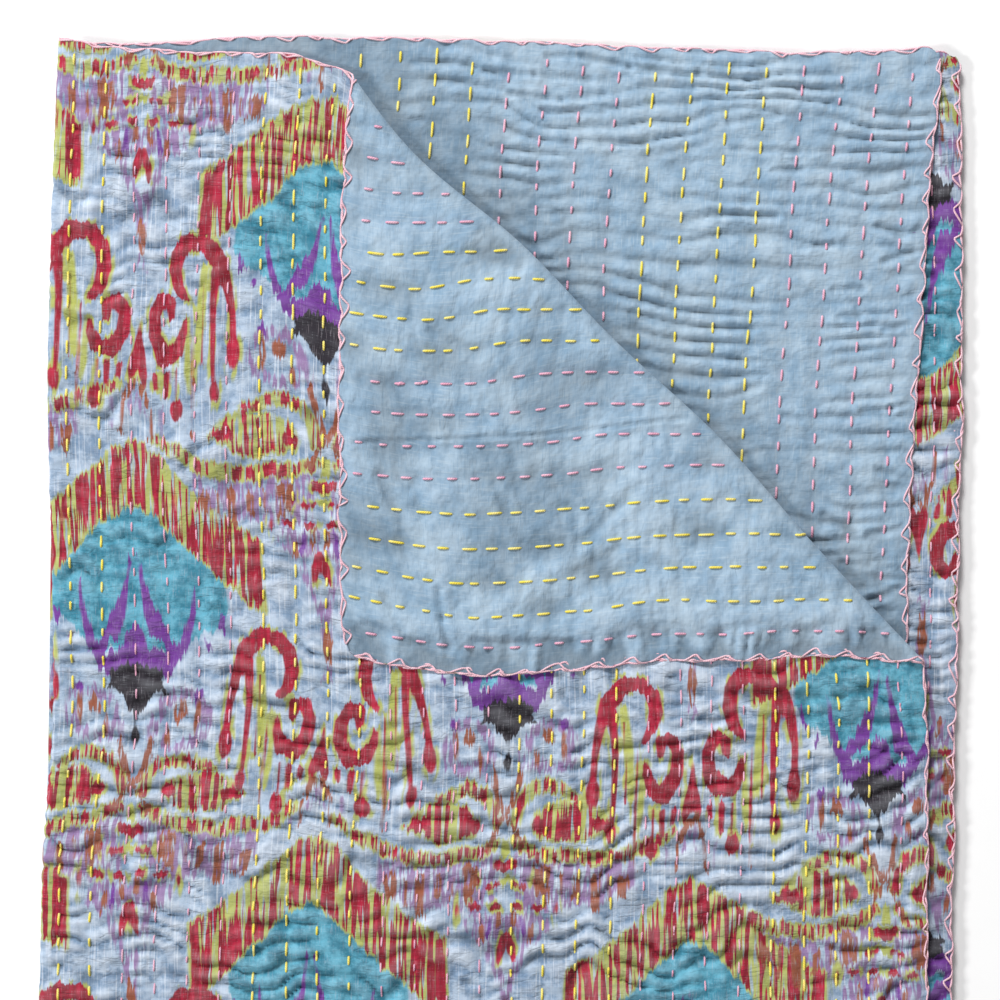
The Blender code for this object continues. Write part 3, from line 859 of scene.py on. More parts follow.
def flat_cloth(side, cuts):
    """A cloth as it is cut: a flat sheet, divided finely where it shows and where it folds."""
    mesh = bmesh.new()
    bmesh.ops.create_grid(mesh, x_segments=COLUMNS, y_segments=ROWS, size=0.5)
    for vert in mesh.verts:
        vert.co = ((vert.co.x + 0.5) * WIDTH, (vert.co.y + 0.5) * LENGTH, 0.0)
    cells = [face for face in mesh.faces if needs_cells(side, *face.calc_center_median()[:2])]
    edges = list({edge for cell in cells for edge in cell.edges})
    bmesh.ops.subdivide_edges(mesh, edges=edges, cuts=cuts, use_grid_fill=True)

    arc = [HALF_ARC * (2 * i / ARC_STEPS - 1) for i in range(ARC_STEPS + 1)]
    side_planes = [((SIDE_FOLD + place, 0, 0), (1, 0, 0)) for place in arc]
    cut_cells(mesh, side_planes, lambda across, along: abs(across - SIDE_FOLD) < FOLD_CELLS)
    foot = [FOOT_FOLD + FOOT_ARC * (i / FOOT_STEPS - 0.5) for i in range(FOOT_STEPS + 1)]
    foot_planes = [((0, place, 0), (0, 1, 0)) for place in foot]
    cut_cells(mesh, foot_planes, lambda across, along: abs(along - FOOT_FOLD) < FOOT_CELLS)
    crease_planes = [((CORNER_LEG + place * math.sqrt(2), 0, 0), (1, 1, 0)) for place in arc]
    cut_cells(mesh, crease_planes, lambda across, along: abs(across + along - CORNER_LEG) < CREASE_CELLS)
    for inset in (step * CLOTH for step in HEM_STEPS):
        for place in (inset, WIDTH - inset):
            plane = ((place, 0, 0), (1, 0, 0))
            cut_cells(mesh, [plane], lambda across, along: abs(across - place) < HEM_CELLS)
        for place in (inset, LENGTH - inset):
            plane = ((0, place, 0), (0, 1, 0))
            cut_cells(mesh, [plane], lambda across, along: abs(along - place) < HEM_CELLS)
    if side < 0:
        bmesh.ops.reverse_faces(mesh, faces=mesh.faces)
    return mesh


def placed_object(name, data, material):
    """A new object that rides on the throw's body."""
    data.polygons.foreach_set("use_smooth", np.ones(len(data.polygons), dtype=bool))
    data.materials.append(material)
    made = bpy.data.objects.new(name, data)
    bpy.context.scene.collection.objects.link(made)
    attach(made, BODY)
    return made


def set_vectors(data, name, vectors):
    """Stores one vector for each point of a mesh, for its material to read."""
    stored = data.attributes.new(name, "FLOAT_VECTOR", "POINT")
    stored.data.foreach_set("vector", np.ascontiguousarray(vectors, dtype=np.float32).ravel())


def cloth_mesh(name, side, cuts):
    """One cloth's mesh in its place, and the flat place of each of its points."""
    cells = flat_cloth(side, cuts)
    data = bpy.data.meshes.new(name)
    cells.to_mesh(data)
    cells.free()
    flat = np.empty(len(data.vertices) * 3)
    data.vertices.foreach_get("co", flat)
    flat = flat.reshape(-1, 3)
    across, along = flat[:, 0], flat[:, 1]
    data.vertices.foreach_set("co", surface(side, across, along).ravel())
    data.update()

    corners = np.empty(len(data.loops), dtype=np.int32)
    data.loops.foreach_get("vertex_index", corners)
    bake_map = data.uv_layers.new(name="OFBake")
    bake_map.data.foreach_set("uv", (flat[corners, :2] / (WIDTH, LENGTH)).ravel())
    set_vectors(data, "flat_place", flat)
    return data, across, along


def ridge_and_shade_mask(side, across, along):
    """The relief as a mask for pale ridges and painted shade: 1 on high ridges and -1 in deep troughs."""
    height = relief(side, across, along)
    mask = height / bpy.context.scene.throw_cloth.pucker - EVEN_LEVEL
    if side < 0:
        # A painted shadow darkens the layer below close beside the turned corner's crease
        beside = np.maximum(CORNER_LEG - (WIDTH - across) - along, 0.0) / math.sqrt(2)
        near = np.exp(-((beside / SHADE_REACH) ** 2))
        mask = mask - SHADE * np.where(across > SIDE_FOLD, near, 0.0)
    return np.clip(mask, -1.0, 1.0)


def stroke_field(shape, beside, below):
    """The distance outside a stroke, below 0 within it."""
    nearest = np.full_like(beside, np.inf)
    for (a, v, half), (next_a, next_v, next_half) in zip(shape.points, shape.points[1:]):
        run = np.array([next_a - a, next_v - v])
        share = np.clip(((beside - a) * run[0] + (below - v) * run[1]) / (run @ run), 0.0, 1.0)
        away = np.hypot(beside - a - share * run[0], below - v - share * run[1])
        nearest = np.minimum(nearest, away - half - share * (next_half - half))
    return nearest


def shape_field(shape, beside, below):
    """The distance outside any shape of the motif, below 0 within it, all in millimetres."""
    if isinstance(shape, Stroke):
        return stroke_field(shape, beside, below)
    if isinstance(shape, Zone):
        upper = np.interp(beside, *zip(*shape.upper))
        lower = np.interp(beside, *zip(*shape.lower))
        sides = np.maximum(shape.upper[0][0] - beside, beside - shape.upper[-1][0])
        if shape.upper[0][0] == 0:
            sides = beside - shape.upper[-1][0]
        return np.maximum(np.maximum(upper - below, below - lower) * 0.85, sides)
    away = np.hypot((beside - shape.beside) / shape.wide, (below - shape.below) / shape.tall)
    spot = (away - 1.0) * min(shape.wide, shape.tall)
    return np.abs(spot) - shape.line if isinstance(shape, Ring) else spot


def shape_middle(shape):
    """How far below the apex a shape of the motif lies, halfway down it."""
    if isinstance(shape, Stroke):
        places = [point[1] for point in shape.points]
    elif isinstance(shape, Zone):
        places = [point[1] for point in shape.upper + shape.lower]
    else:
        return shape.below
    return (min(places) + max(places)) / 2


def print_fields(across, along):
    """For each dye, the distance outside its nearest shape, in metres."""
    # The print wanders a little over the cloth
    across = across + 0.0045 * cloudy(across, along, 0.070, 0.085, 81)
    along = along + 0.0045 * cloudy(across, along, 0.045, 0.060, 82)
    along = along + 0.0020 * cloudy(across, along, 0.009, 0.030, 83)
    fields = {dye: np.full_like(across, MOST_FIELD) for dye in DYES}
    repeat = REPEAT / MM
    for odd in (0, 1):
        first = FIRST_COLUMN + odd * COLUMN_PITCH
        column = first + 2 * COLUMN_PITCH * np.round((across - first) / (2 * COLUMN_PITCH))
        apex = FIRST_APEX + APEX_SLANT * column + odd * HALF_DROP + np.interp(column, *zip(*COLUMN_SHIFTS))
        beside = np.abs(across - column) / MM
        below = (along - apex) / MM
        for shape in MOTIF:
            middle = shape_middle(shape)
            wrapped = (below - middle + repeat / 2) % repeat - repeat / 2 + middle
            fields[shape.dye] = np.minimum(fields[shape.dye], MM * shape_field(shape, beside, wrapped))
    return np.stack([np.clip(fields[dye], -MOST_FIELD, MOST_FIELD) for dye in DYES], axis=-1)


def node(tree, kind, settings=None, inputs=None):
    """A shader node with its settings, and each named input given a value or joined to a socket."""
    made = tree.nodes.new(kind)
    for name, value in (settings or {}).items():
        setattr(made, name, value)
    for name, value in (inputs or {}).items():
        if isinstance(value, bpy.types.NodeSocket):
            tree.links.new(value, made.inputs[name])
        else:
            made.inputs[name].default_value = value
    return made


def calc(tree, operation, *values, clamp=False):
    """The output of a Math node."""
    settings = {"operation": operation, "use_clamp": clamp}
    return node(tree, "ShaderNodeMath", settings, dict(enumerate(values))).outputs[0]


def blend(tree, share, under, over, way="MIX"):
    """The output of a Mix node for colours."""
    settings = {"data_type": "RGBA", "blend_type": way}
    return node(tree, "ShaderNodeMix", settings, {0: share, 6: under, 7: over}).outputs[2]


def remap(tree, value, low, high, out_low=0.0, out_high=1.0, soft=True):
    """A value carried from one range to another, and kept within it."""
    settings = {"interpolation_type": "SMOOTHSTEP" if soft else "LINEAR"}
    names = {"Value": value, "From Min": low, "From Max": high, "To Min": out_low, "To Max": out_high}
    return node(tree, "ShaderNodeMapRange", settings, names).outputs["Result"]


def noise(tree, place, scale, detail=2.0, roughness=0.5):
    """The value of a Noise texture, from 0 to 1."""
    inputs = {"Vector": place, "Scale": scale, "Detail": detail, "Roughness": roughness}
    return node(tree, "ShaderNodeTexNoise", {}, inputs).outputs["Fac"]


def stretched(tree, place, wide, tall, layer):
    """A flat place measured in cells `wide` across and `tall` along, in one layer of a texture."""
    parts = node(tree, "ShaderNodeSeparateXYZ", {}, {"Vector": place}).outputs
    across = calc(tree, "DIVIDE", parts["X"], wide)
    along = calc(tree, "DIVIDE", parts["Y"], tall)
    return node(tree, "ShaderNodeCombineXYZ", {}, {"X": across, "Y": along, "Z": layer}).outputs["Vector"]


def stored(tree, name):
    """The vector that a mesh stores for its points under this name."""
    return node(tree, "ShaderNodeAttribute", {"attribute_name": name}).outputs["Vector"]


def stored_values(tree, name):
    """The values that a mesh stores three at a time under this name and a number."""
    values = []
    for i in range(FIELD_VECTORS):
        vector = stored(tree, f"{name}_{i}")
        parts = node(tree, "ShaderNodeSeparateXYZ", {}, {"Vector": vector}).outputs
        values += [parts["X"], parts["Y"], parts["Z"]]
    return values


def effect(name, inputs, outputs):
    """A new shader node group with these sockets: its tree, its given values and its results."""
    tree = bpy.data.node_groups.new(name, "ShaderNodeTree")
    for label, kind, value in inputs:
        socket = tree.interface.new_socket(label, in_out="INPUT", socket_type="NodeSocket" + kind)
        socket.default_value = value
    for label, kind in outputs:
        tree.interface.new_socket(label, in_out="OUTPUT", socket_type="NodeSocket" + kind)
    return tree, tree.nodes.new("NodeGroupInput").outputs, tree.nodes.new("NodeGroupOutput").inputs


def warp_streaks():
    """Soft streaks that run along the throw, from -1 to 1, as dyed warp threads slip beside each other."""
    inputs = (
        ("Place", "Vector", (0, 0, 0)),
        ("Width", "Float", 0.002),
        ("Length", "Float", 0.03),
        ("Layer", "Float", 0.0),
    )
    tree, given, results = effect("Warp streaks", inputs, [("Value", "Float")])
    place = stretched(tree, given["Place"], given["Width"], given["Length"], given["Layer"])
    value = noise(tree, place, 1.0, detail=1.0)
    tree.links.new(remap(tree, value, 0.28, 0.72, -1.0, 1.0, soft=False), results["Value"])
    return tree


def ikat_edge():
    """Where one dye lies, with an edge that slips up and down from thread to thread."""
    inputs = (
        ("Field", "Float", 0.0),
        ("Slope", "Float", 0.0),
        ("Streaks", "Float", 0.0),
        ("Slip", "Float", 0.004),
        ("Grow", "Float", 0.0),
        ("Softness", "Float", 0.0006),
    )
    tree, given, results = effect("Ikat edge", inputs, [("Mask", "Float")])
    slip = calc(tree, "MULTIPLY", given["Streaks"], given["Slip"])
    field = calc(tree, "MULTIPLY_ADD", given["Slope"], slip, given["Field"])
    field = calc(tree, "SUBTRACT", field, given["Grow"])
    outside = calc(tree, "MULTIPLY", given["Softness"], -1.0)
    tree.links.new(remap(tree, field, given["Softness"], outside), results["Mask"])
    return tree


def cotton_weave():
    """Washed plain weave with slubs and crinkles: its height, crinkles, paler threads and cloudy dye."""
    inputs = (
        ("Place", "Vector", (0, 0, 0)),
        ("Thread", "Float", 0.0007),
        ("Crinkle depth", "Float", 0.0005),
        ("Rumple", "Float", 0.0010),
    )
    outputs = (("Height", "Float"), ("Crinkles", "Float"), ("Flecks", "Float"), ("Clouds", "Float"))
    tree, given, results = effect("Cotton weave", inputs, outputs)
    place = given["Place"]
    parts = node(tree, "ShaderNodeSeparateXYZ", {}, {"Vector": place}).outputs
    waves = []
    for axis in ("X", "Y"):
        turns = calc(tree, "DIVIDE", parts[axis], given["Thread"])
        waves.append(calc(tree, "SINE", calc(tree, "MULTIPLY", turns, 2 * math.pi)))
    woven = calc(tree, "MULTIPLY", waves[0], waves[1])
    warp = noise(tree, stretched(tree, place, 0.0009, 0.012, 1.0), 1.0, detail=2.0)
    weft = noise(tree, stretched(tree, place, 0.010, 0.0010, 2.0), 1.0, detail=2.0)
    slubs = calc(tree, "ADD", warp, weft)

    nets = []
    for wide, tall, layer in ((0.030, 0.0095, 4.0), (0.013, 0.0055, 9.0)):
        value = noise(tree, stretched(tree, place, wide, tall, layer), 1.0, detail=2.0, roughness=0.55)
        away = calc(tree, "ABSOLUTE", calc(tree, "SUBTRACT", value, 0.5))
        nets.append(remap(tree, away, 0.0, 0.06))
    patches = remap(tree, noise(tree, place, 45.0, detail=1.0), 0.40, 0.62, 0.25, 1.0)
    net = calc(tree, "MULTIPLY_ADD", nets[0], 0.65, calc(tree, "MULTIPLY", nets[1], 0.35))
    trough = calc(tree, "MULTIPLY", calc(tree, "SUBTRACT", 1.0, net), patches)
    crinkle = calc(tree, "SUBTRACT", 1.0, trough)
    tree.links.new(crinkle, results["Crinkles"])

    height = calc(tree, "MULTIPLY_ADD", woven, 0.000015, calc(tree, "MULTIPLY", slubs, 0.00009))
    height = calc(tree, "MULTIPLY_ADD", crinkle, given["Crinkle depth"], height)
    soft = noise(tree, place, 80.0, detail=2.0, roughness=0.45)
    tree.links.new(calc(tree, "MULTIPLY_ADD", soft, given["Rumple"], height), results["Height"])
    tree.links.new(remap(tree, slubs, 1.05, 1.30), results["Flecks"])
    tree.links.new(noise(tree, place, 70.0, detail=5.0, roughness=0.65), results["Clouds"])
    return tree


def paled_and_shaded_folds():
    """Paler ridges, part wash-out and part painted highlight, and painted shade in troughs and crinkles."""
    inputs = (
        ("Color", "Color", (1, 1, 1, 1)),
        ("Relief", "Float", 0.0),
        ("Crinkles", "Float", 1.0),
        ("Fading", "Float", 0.2),
        ("Depth", "Float", 0.3),
    )
    tree, given, results = effect("Washed folds", inputs, [("Color", "Color")])
    ridge = calc(tree, "MULTIPLY", calc(tree, "MAXIMUM", given["Relief"], 0.0), given["Fading"])
    # Paler ridges: part wash-out and part painted highlight
    paled_ridges = blend(tree, ridge, given["Color"], (0.78, 0.82, 0.88, 1.0))
    # Painted shade darkens the troughs and crinkles
    low = calc(tree, "SUBTRACT", given["Crinkles"], 1.0)
    low = calc(tree, "MULTIPLY_ADD", low, 0.42, calc(tree, "MINIMUM", given["Relief"], 0.0))
    shade = calc(tree, "MULTIPLY_ADD", low, given["Depth"], 1.0)
    shade = calc(tree, "MAXIMUM", shade, 0.25)
    grey = node(tree, "ShaderNodeCombineColor", {}, {"Red": shade, "Green": shade, "Blue": shade}).outputs[0]
    tree.links.new(blend(tree, 1.0, paled_ridges, grey, "MULTIPLY"), results["Color"])
    return tree


def twisted_thread():
    """Two plies of thread round each other: their height and how deep the light falls between them."""
    inputs = (("Around", "Vector", (0, 0, 0)), ("Twist", "Float", 0.0032))
    tree, given, results = effect("Twisted thread", inputs, [("Height", "Float"), ("Shade", "Float")])
    parts = node(tree, "ShaderNodeSeparateXYZ", {}, {"Vector": given["Around"]}).outputs
    turn = calc(tree, "MULTIPLY", calc(tree, "DIVIDE", parts["X"], given["Twist"]), 2 * math.pi)
    sine = calc(tree, "MULTIPLY", calc(tree, "SINE", turn), parts["Y"])
    cosine = calc(tree, "MULTIPLY", calc(tree, "COSINE", turn), parts["Z"])
    ply = calc(tree, "ABSOLUTE", calc(tree, "ADD", sine, cosine))
    tree.links.new(ply, results["Height"])
    tree.links.new(remap(tree, ply, 0.0, 0.6, 0.72, 1.0), results["Shade"])
    return tree


def shared(build):
    """The node group that this function builds, made once and then used again."""
    name = build.__name__
    known = {tree["made_by"]: tree for tree in bpy.data.node_groups if "made_by" in tree}
    if name not in known:
        known[name] = build()
        known[name]["made_by"] = name
    return known[name]


def use(tree, build, inputs):
    """The outputs of a shared effect, placed in a material's tree with its own values."""
    placed = node(tree, "ShaderNodeGroup", {"node_tree": shared(build)}, inputs)
    return placed.outputs


def new_material(name):
    """A material with its node tree and its Principled shader."""
    material = bpy.data.materials.new(name)
    material.use_nodes = True
    return material, material.node_tree, material.node_tree.nodes["Principled BSDF"]


def finish_cloth(tree, shader, color, weave):
    """The matte, slightly fuzzy surface of washed cotton."""
    tree.links.new(color, shader.inputs["Base Color"])
    tree.links.new(remap(tree, weave["Clouds"], 0.3, 0.7, 0.78, 0.94), shader.inputs["Roughness"])
    inputs = {"Height": weave["Height"], "Strength": 1.0, "Distance": 1.0}
    normal = node(tree, "ShaderNodeBump", {}, inputs).outputs["Normal"]
    tree.links.new(normal, shader.inputs["Normal"])
    shader.inputs["Sheen Weight"].default_value = 0.12
    shader.inputs["Sheen Roughness"].default_value = 0.6
    shader.inputs["Specular IOR Level"].default_value = 0.25


def printed_cotton():
    """The face: dyes on a mottled ground, their edges slipping from thread to thread."""
    colors = bpy.context.scene.throw_print
    material, tree, shader = new_material("printed_cotton")
    place = stored(tree, "flat_place")
    weave = use(tree, cotton_weave, {"Place": place, "Crinkle depth": 0.0004, "Rumple": 0.0022})
    fields = stored_values(tree, "dye_field")
    slopes = stored_values(tree, "dye_slope")
    # The value after the last dye's is the height mask for pale ridges and painted shade
    height = fields[len(DYES)]

    def streaks(wide, tall, layer):
        inputs = {"Place": place, "Width": wide, "Length": tall, "Layer": layer}
        return use(tree, warp_streaks, inputs)["Value"]

    fine = streaks(0.0013, 0.050, 3.0)
    broad = streaks(0.0034, 0.060, 7.0)
    slip = calc(tree, "MULTIPLY_ADD", fine, 0.5, calc(tree, "MULTIPLY", broad, 0.6))

    def dye(name, reach, grow=0.0, soft=0.0007):
        i = DYES.index(name)
        inputs = {
            "Field": fields[i],
            "Slope": slopes[i],
            "Streaks": slip,
            "Slip": reach,
            "Grow": grow,
            "Softness": soft,
        }
        return use(tree, ikat_edge, inputs)["Mask"]

    deep = remap(tree, weave["Clouds"], 0.39, 0.61)
    color = blend(tree, deep, (*colors.ground, 1.0), (*colors.deep_ground, 1.0))
    pale = remap(tree, fine, 0.10, 0.9, 0.0, 0.45)
    color = blend(tree, pale, color, (*colors.pale_ground, 1.0))
    # The ground is paler on the ridges than the dyes, part wash-out and part painted highlight
    paled_ridges = {"Color": color, "Relief": height, "Fading": 0.55, "Depth": 0.0}
    color = use(tree, paled_and_shaded_folds, paled_ridges)["Color"]

    gaps = remap(tree, streaks(0.0026, 0.018, 11.0), -0.40, 0.15)
    lavender = calc(tree, "MULTIPLY", dye("lavender", 0.005, soft=0.0014), gaps)
    color = blend(tree, calc(tree, "MULTIPLY", lavender, 0.92), color, (*colors.lavender, 1.0))
    inner = blend(tree, deep, (*colors.turquoise, 1.0), (*colors.deep_turquoise, 1.0))
    color = blend(tree, dye("turquoise", 0.004, soft=0.0012), color, inner)

    worn = remap(tree, streaks(0.0028, 0.034, 15.0), -0.75, -0.05, 0.15, 0.95)
    lime = calc(tree, "MULTIPLY", dye("band", 0.0035, 0.0016, 0.0012), worn)
    broken = remap(tree, streaks(0.0060, 0.024, 17.0), -0.10, 0.35, 0.0, 0.95)
    lime = calc(tree, "MAXIMUM", lime, calc(tree, "MULTIPLY", dye("red", 0.003, 0.0024, 0.0012), broken))
    lime = calc(tree, "MAXIMUM", lime, dye("lime", 0.004, 0.0, 0.0012))
    color = blend(tree, lime, color, (*colors.lime, 1.0))

    bars = remap(tree, streaks(0.0030, 0.055, 19.0), -0.12, 0.05)
    bars = calc(tree, "MULTIPLY", bars, dye("band", 0.0045))
    light = remap(tree, broad, -0.5, 0.8)
    red = blend(tree, light, (*colors.deep_crimson, 1.0), (*colors.crimson, 1.0))
    color = blend(tree, bars, color, red)
    color = blend(tree, dye("violet", 0.006), color, (*colors.violet, 1.0))
    color = blend(tree, dye("black", 0.004), color, (*colors.black, 1.0))
    color = blend(tree, dye("red", 0.0024), color, red)
    holes = remap(tree, streaks(0.0020, 0.016, 23.0), -0.8, -0.2)
    rust = calc(tree, "MULTIPLY", dye("rust", 0.006), holes)
    color = blend(tree, rust, color, (*colors.rust, 1.0))

    threads = remap(tree, streaks(0.0009, 0.012, 27.0), 0.45, 1.0, 0.0, 0.15)
    color = blend(tree, threads, color, (0.70, 0.62, 0.68, 1.0))
    color = blend(tree, calc(tree, "MULTIPLY", weave["Flecks"], 0.10), color, (*colors.pale_ground, 1.0))
    # Painted shade darkens the troughs and crinkles, and painted highlight pales the ridges
    wear = {"Color": color, "Relief": height, "Crinkles": weave["Crinkles"], "Fading": 0.12, "Depth": 0.58}
    color = use(tree, paled_and_shaded_folds, wear)["Color"]
    finish_cloth(tree, shader, color, weave)
    return material


def plain_cotton():
    """The backing: pale blue cotton, cloudy from washing."""
    colors = bpy.context.scene.throw_print
    material, tree, shader = new_material("plain_blue_cotton")
    place = stored(tree, "flat_place")
    # The height mask for pale ridges, painted shade and the painted shadow beside the crease
    height = node(tree, "ShaderNodeSeparateXYZ", {}, {"Vector": stored(tree, "wear")}).outputs["X"]
    cotton = {"Place": place, "Thread": 0.0008, "Crinkle depth": 0.00012, "Rumple": 0.0030}
    weave = use(tree, cotton_weave, cotton)
    cloud = remap(tree, weave["Clouds"], 0.34, 0.66, 0.0, 0.7)
    color = blend(tree, cloud, (*colors.backing, 1.0), (*colors.deep_backing, 1.0))
    wide = remap(tree, noise(tree, place, 24.0, detail=4.0, roughness=0.6), 0.42, 0.66, 0.0, 0.45)
    color = blend(tree, wide, color, (*colors.pale_backing, 1.0))
    long = {"Place": place, "Width": 0.0012, "Length": 0.016, "Layer": 31.0}
    threads = remap(tree, use(tree, warp_streaks, long)["Value"], 0.2, 1.0, 0.0, 0.35)
    color = blend(tree, threads, color, (*colors.pale_backing, 1.0))
    short = {"Place": place, "Width": 0.013, "Length": 0.0012, "Layer": 35.0}
    threads = remap(tree, use(tree, warp_streaks, short)["Value"], 0.2, 1.0, 0.0, 0.35)
    color = blend(tree, threads, color, (*colors.deep_backing, 1.0))
    # Painted shade in the troughs and painted shadow beside the crease darken the colour, and the ridges are
    # paler
    wear = {"Color": color, "Relief": height, "Fading": 0.10, "Depth": 0.58}
    color = use(tree, paled_and_shaded_folds, wear)["Color"]
    finish_cloth(tree, shader, color, weave)
    return material


def cotton_thread(name, color):
    """Twisted cotton thread, its dye a little uneven."""
    material, tree, shader = new_material(name)
    plies = use(tree, twisted_thread, {"Around": stored(tree, "around_thread")})
    spots = noise(tree, stored(tree, "flat_place"), 160.0, detail=2.0)
    pale = tuple(0.35 + 0.65 * part for part in color)
    mixed = blend(tree, remap(tree, spots, 0.35, 0.70, 0.0, 0.55), (*color, 1.0), (*pale, 1.0))
    shade = plies["Shade"]
    grey = node(tree, "ShaderNodeCombineColor", {}, {"Red": shade, "Green": shade, "Blue": shade}).outputs[0]
    mixed = blend(tree, 1.0, mixed, grey, "MULTIPLY")
    tree.links.new(mixed, shader.inputs["Base Color"])
    tree.links.new(remap(tree, spots, 0.3, 0.7, 0.55, 0.75), shader.inputs["Roughness"])
    inputs = {"Height": plies["Height"], "Strength": 0.6, "Distance": 0.0003}
    tree.links.new(node(tree, "ShaderNodeBump", {}, inputs).outputs["Normal"], shader.inputs["Normal"])
    shader.inputs["Sheen Weight"].default_value = 0.2
    return material


def thread_mesh(name, places, ups, flats, radius):
    """Many short threads as one mesh. Each array has a row for each thread. The first three have a vector for
    each of its points: where the point lies, the cloth's normal there, and its flat place."""
    count, points, _ = places.shape
    forward = np.gradient(places, axis=1)
    forward /= np.linalg.norm(forward, axis=-1, keepdims=True)
    beside = np.cross(forward, ups)
    beside /= np.linalg.norm(beside, axis=-1, keepdims=True)
    upward = np.cross(beside, forward)

    share = np.linspace(-1.0, 1.0, points)
    girth = radius[:, None] * np.sqrt(np.clip(1.0 - share**6, 0.03, 1.0))
    angles = 2 * math.pi * np.arange(THREAD_SIDES) / THREAD_SIDES
    around = np.cos(angles)[:, None] * upward[:, :, None] + np.sin(angles)[:, None] * beside[:, :, None]
    verts = places[:, :, None] + girth[:, :, None, None] * around

    ring = np.arange(THREAD_SIDES)
    quads = []
    for i in range(points - 1):
        a = i * THREAD_SIDES + ring
        b = i * THREAD_SIDES + (ring + 1) % THREAD_SIDES
        quads.append(np.stack([a, b, b + THREAD_SIDES, a + THREAD_SIDES], axis=-1))
    starts = np.arange(count)[:, None, None] * points * THREAD_SIDES
    quads = (np.concatenate(quads)[None] + starts).reshape(-1, 4)
    last = (points - 1) * THREAD_SIDES
    ends = (np.stack([ring[::-1], ring + last])[None] + starts).reshape(-1, THREAD_SIDES)
    data = bpy.data.meshes.new(name)
    data.from_pydata(verts.reshape(-1, 3).tolist(), [], quads.tolist() + ends.tolist())
    data.update()

    travelled = np.cumsum(np.linalg.norm(np.diff(places, axis=1, prepend=places[:, :1]), axis=-1), axis=1)
    twist = np.zeros((count, points, THREAD_SIDES, 3))
    twist[..., 0] = travelled[:, :, None]
    twist[..., 1] = np.cos(angles)
    twist[..., 2] = np.sin(angles)
    set_vectors(data, "around_thread", twist.reshape(-1, 3))
    set_vectors(data, "flat_place", np.repeat(flats.reshape(-1, 3), THREAD_SIDES, axis=0))
    return data


def threads_on(side, across, along, above):
    """Where threads lie on one side of the quilt, with its normals and their flat places."""
    shape = across.shape
    across, along, above = across.ravel(), along.ravel(), above.ravel()
    places = surface(side, across, along, above).reshape(*shape, 3)
    ups = (side * outward(across, along)).reshape(*shape, 3)
    flats = np.stack([across, along, np.zeros_like(across)], axis=-1).reshape(*shape, 3)
    return places, ups, flats


def row_color(i):
    """The colour of a row of stitches: four rows of one colour, then four of the other."""
    if i < TOP_ROWS:
        return "pink" if (i + 3) // 4 % 2 == 0 else "yellow"
    return "pink" if (TOP_ROWS + UNDER_ROWS - 1 - i) // 4 % 2 == 0 else "yellow"


def running_stitches(side, color):
    """Flat places of every stitch of one colour that shows on one side of the quilt."""
    sizes = bpy.context.scene.throw_sewing
    period = sizes.stitch + sizes.gap
    share = np.linspace(0.0, 1.0, STITCH_POINTS)
    found = []
    for i, row in enumerate(stitch_rows()[1:-1]):
        if row_color(i) != color:
            continue
        draws = np.random.default_rng(1000 + 10 * i + side)
        starts = np.arange(STITCH_MARGIN, LENGTH - period, period) + draws.uniform(0.0, period)
        starts = starts + draws.uniform(-0.12, 0.12, len(starts)) * period
        shorter = draws.uniform(0.88, 1.14) * (SHORTER_PINK if color == "pink" else 1.0)
        lengths = shorter * sizes.stitch * draws.uniform(0.65, 1.20, len(starts))
        along = starts[:, None] + lengths[:, None] * share
        across = np.full_like(along, row)
        across = across - wander(across, along) + draws.uniform(-0.0003, 0.0003, (len(starts), 1))
        ends = shown(side, across[:, 0], along[:, 0]) + shown(side, across[:, -1], along[:, -1])
        inside = (along[:, 0] > STITCH_MARGIN) & (along[:, -1] < LENGTH - STITCH_MARGIN)
        # No stitch shows under the foot of the pile
        under = (row < SIDE_FOLD) & (along[:, -1] > FOOT_FOLD)
        keep = inside & (ends > SHOWN_ENOUGH) & ~under
        found.append(np.stack([across[keep], along[keep]]))
    return np.concatenate(found, axis=1)


def stitch_piece(color, value):
    """All the running stitches of one colour, as one piece."""
    arch = STITCH_ARCH * np.sqrt(np.sin(math.pi * np.linspace(0.0, 1.0, STITCH_POINTS))) - STITCH_SINK
    parts = []
    for side in (1, -1):
        across, along = running_stitches(side, color)
        # The stitches sink deeper into the face
        slender = SLENDER[color, side]
        radius = slender * bpy.context.scene.throw_sewing.thread / 2
        placed = threads_on(side, across, along, np.broadcast_to(radius * arch, across.shape))
        parts.append((*placed, np.full(len(across), radius)))
    if color == "pink":
        across, along = (np.array(places)[:, None] for places in zip(*KNOTS))
        along = along + np.linspace(0.0, KNOT, STITCH_POINTS)
        across = across - wander(across, along) + KNOT_SLANT * (along - along[:, :1])
        placed = threads_on(-1, across, along, np.broadcast_to(0.5 * KNOT_RADIUS * arch, across.shape))
        parts.append((*placed, np.full(len(across), KNOT_RADIUS)))
    places, ups, flats, radii = (np.concatenate(group) for group in zip(*parts))
    data = thread_mesh(f"{color}_stitches", places, ups, flats, radii)
    material = cotton_thread(f"{color}_thread", value)
    return placed_object(f"{color}_stitches", data, material)


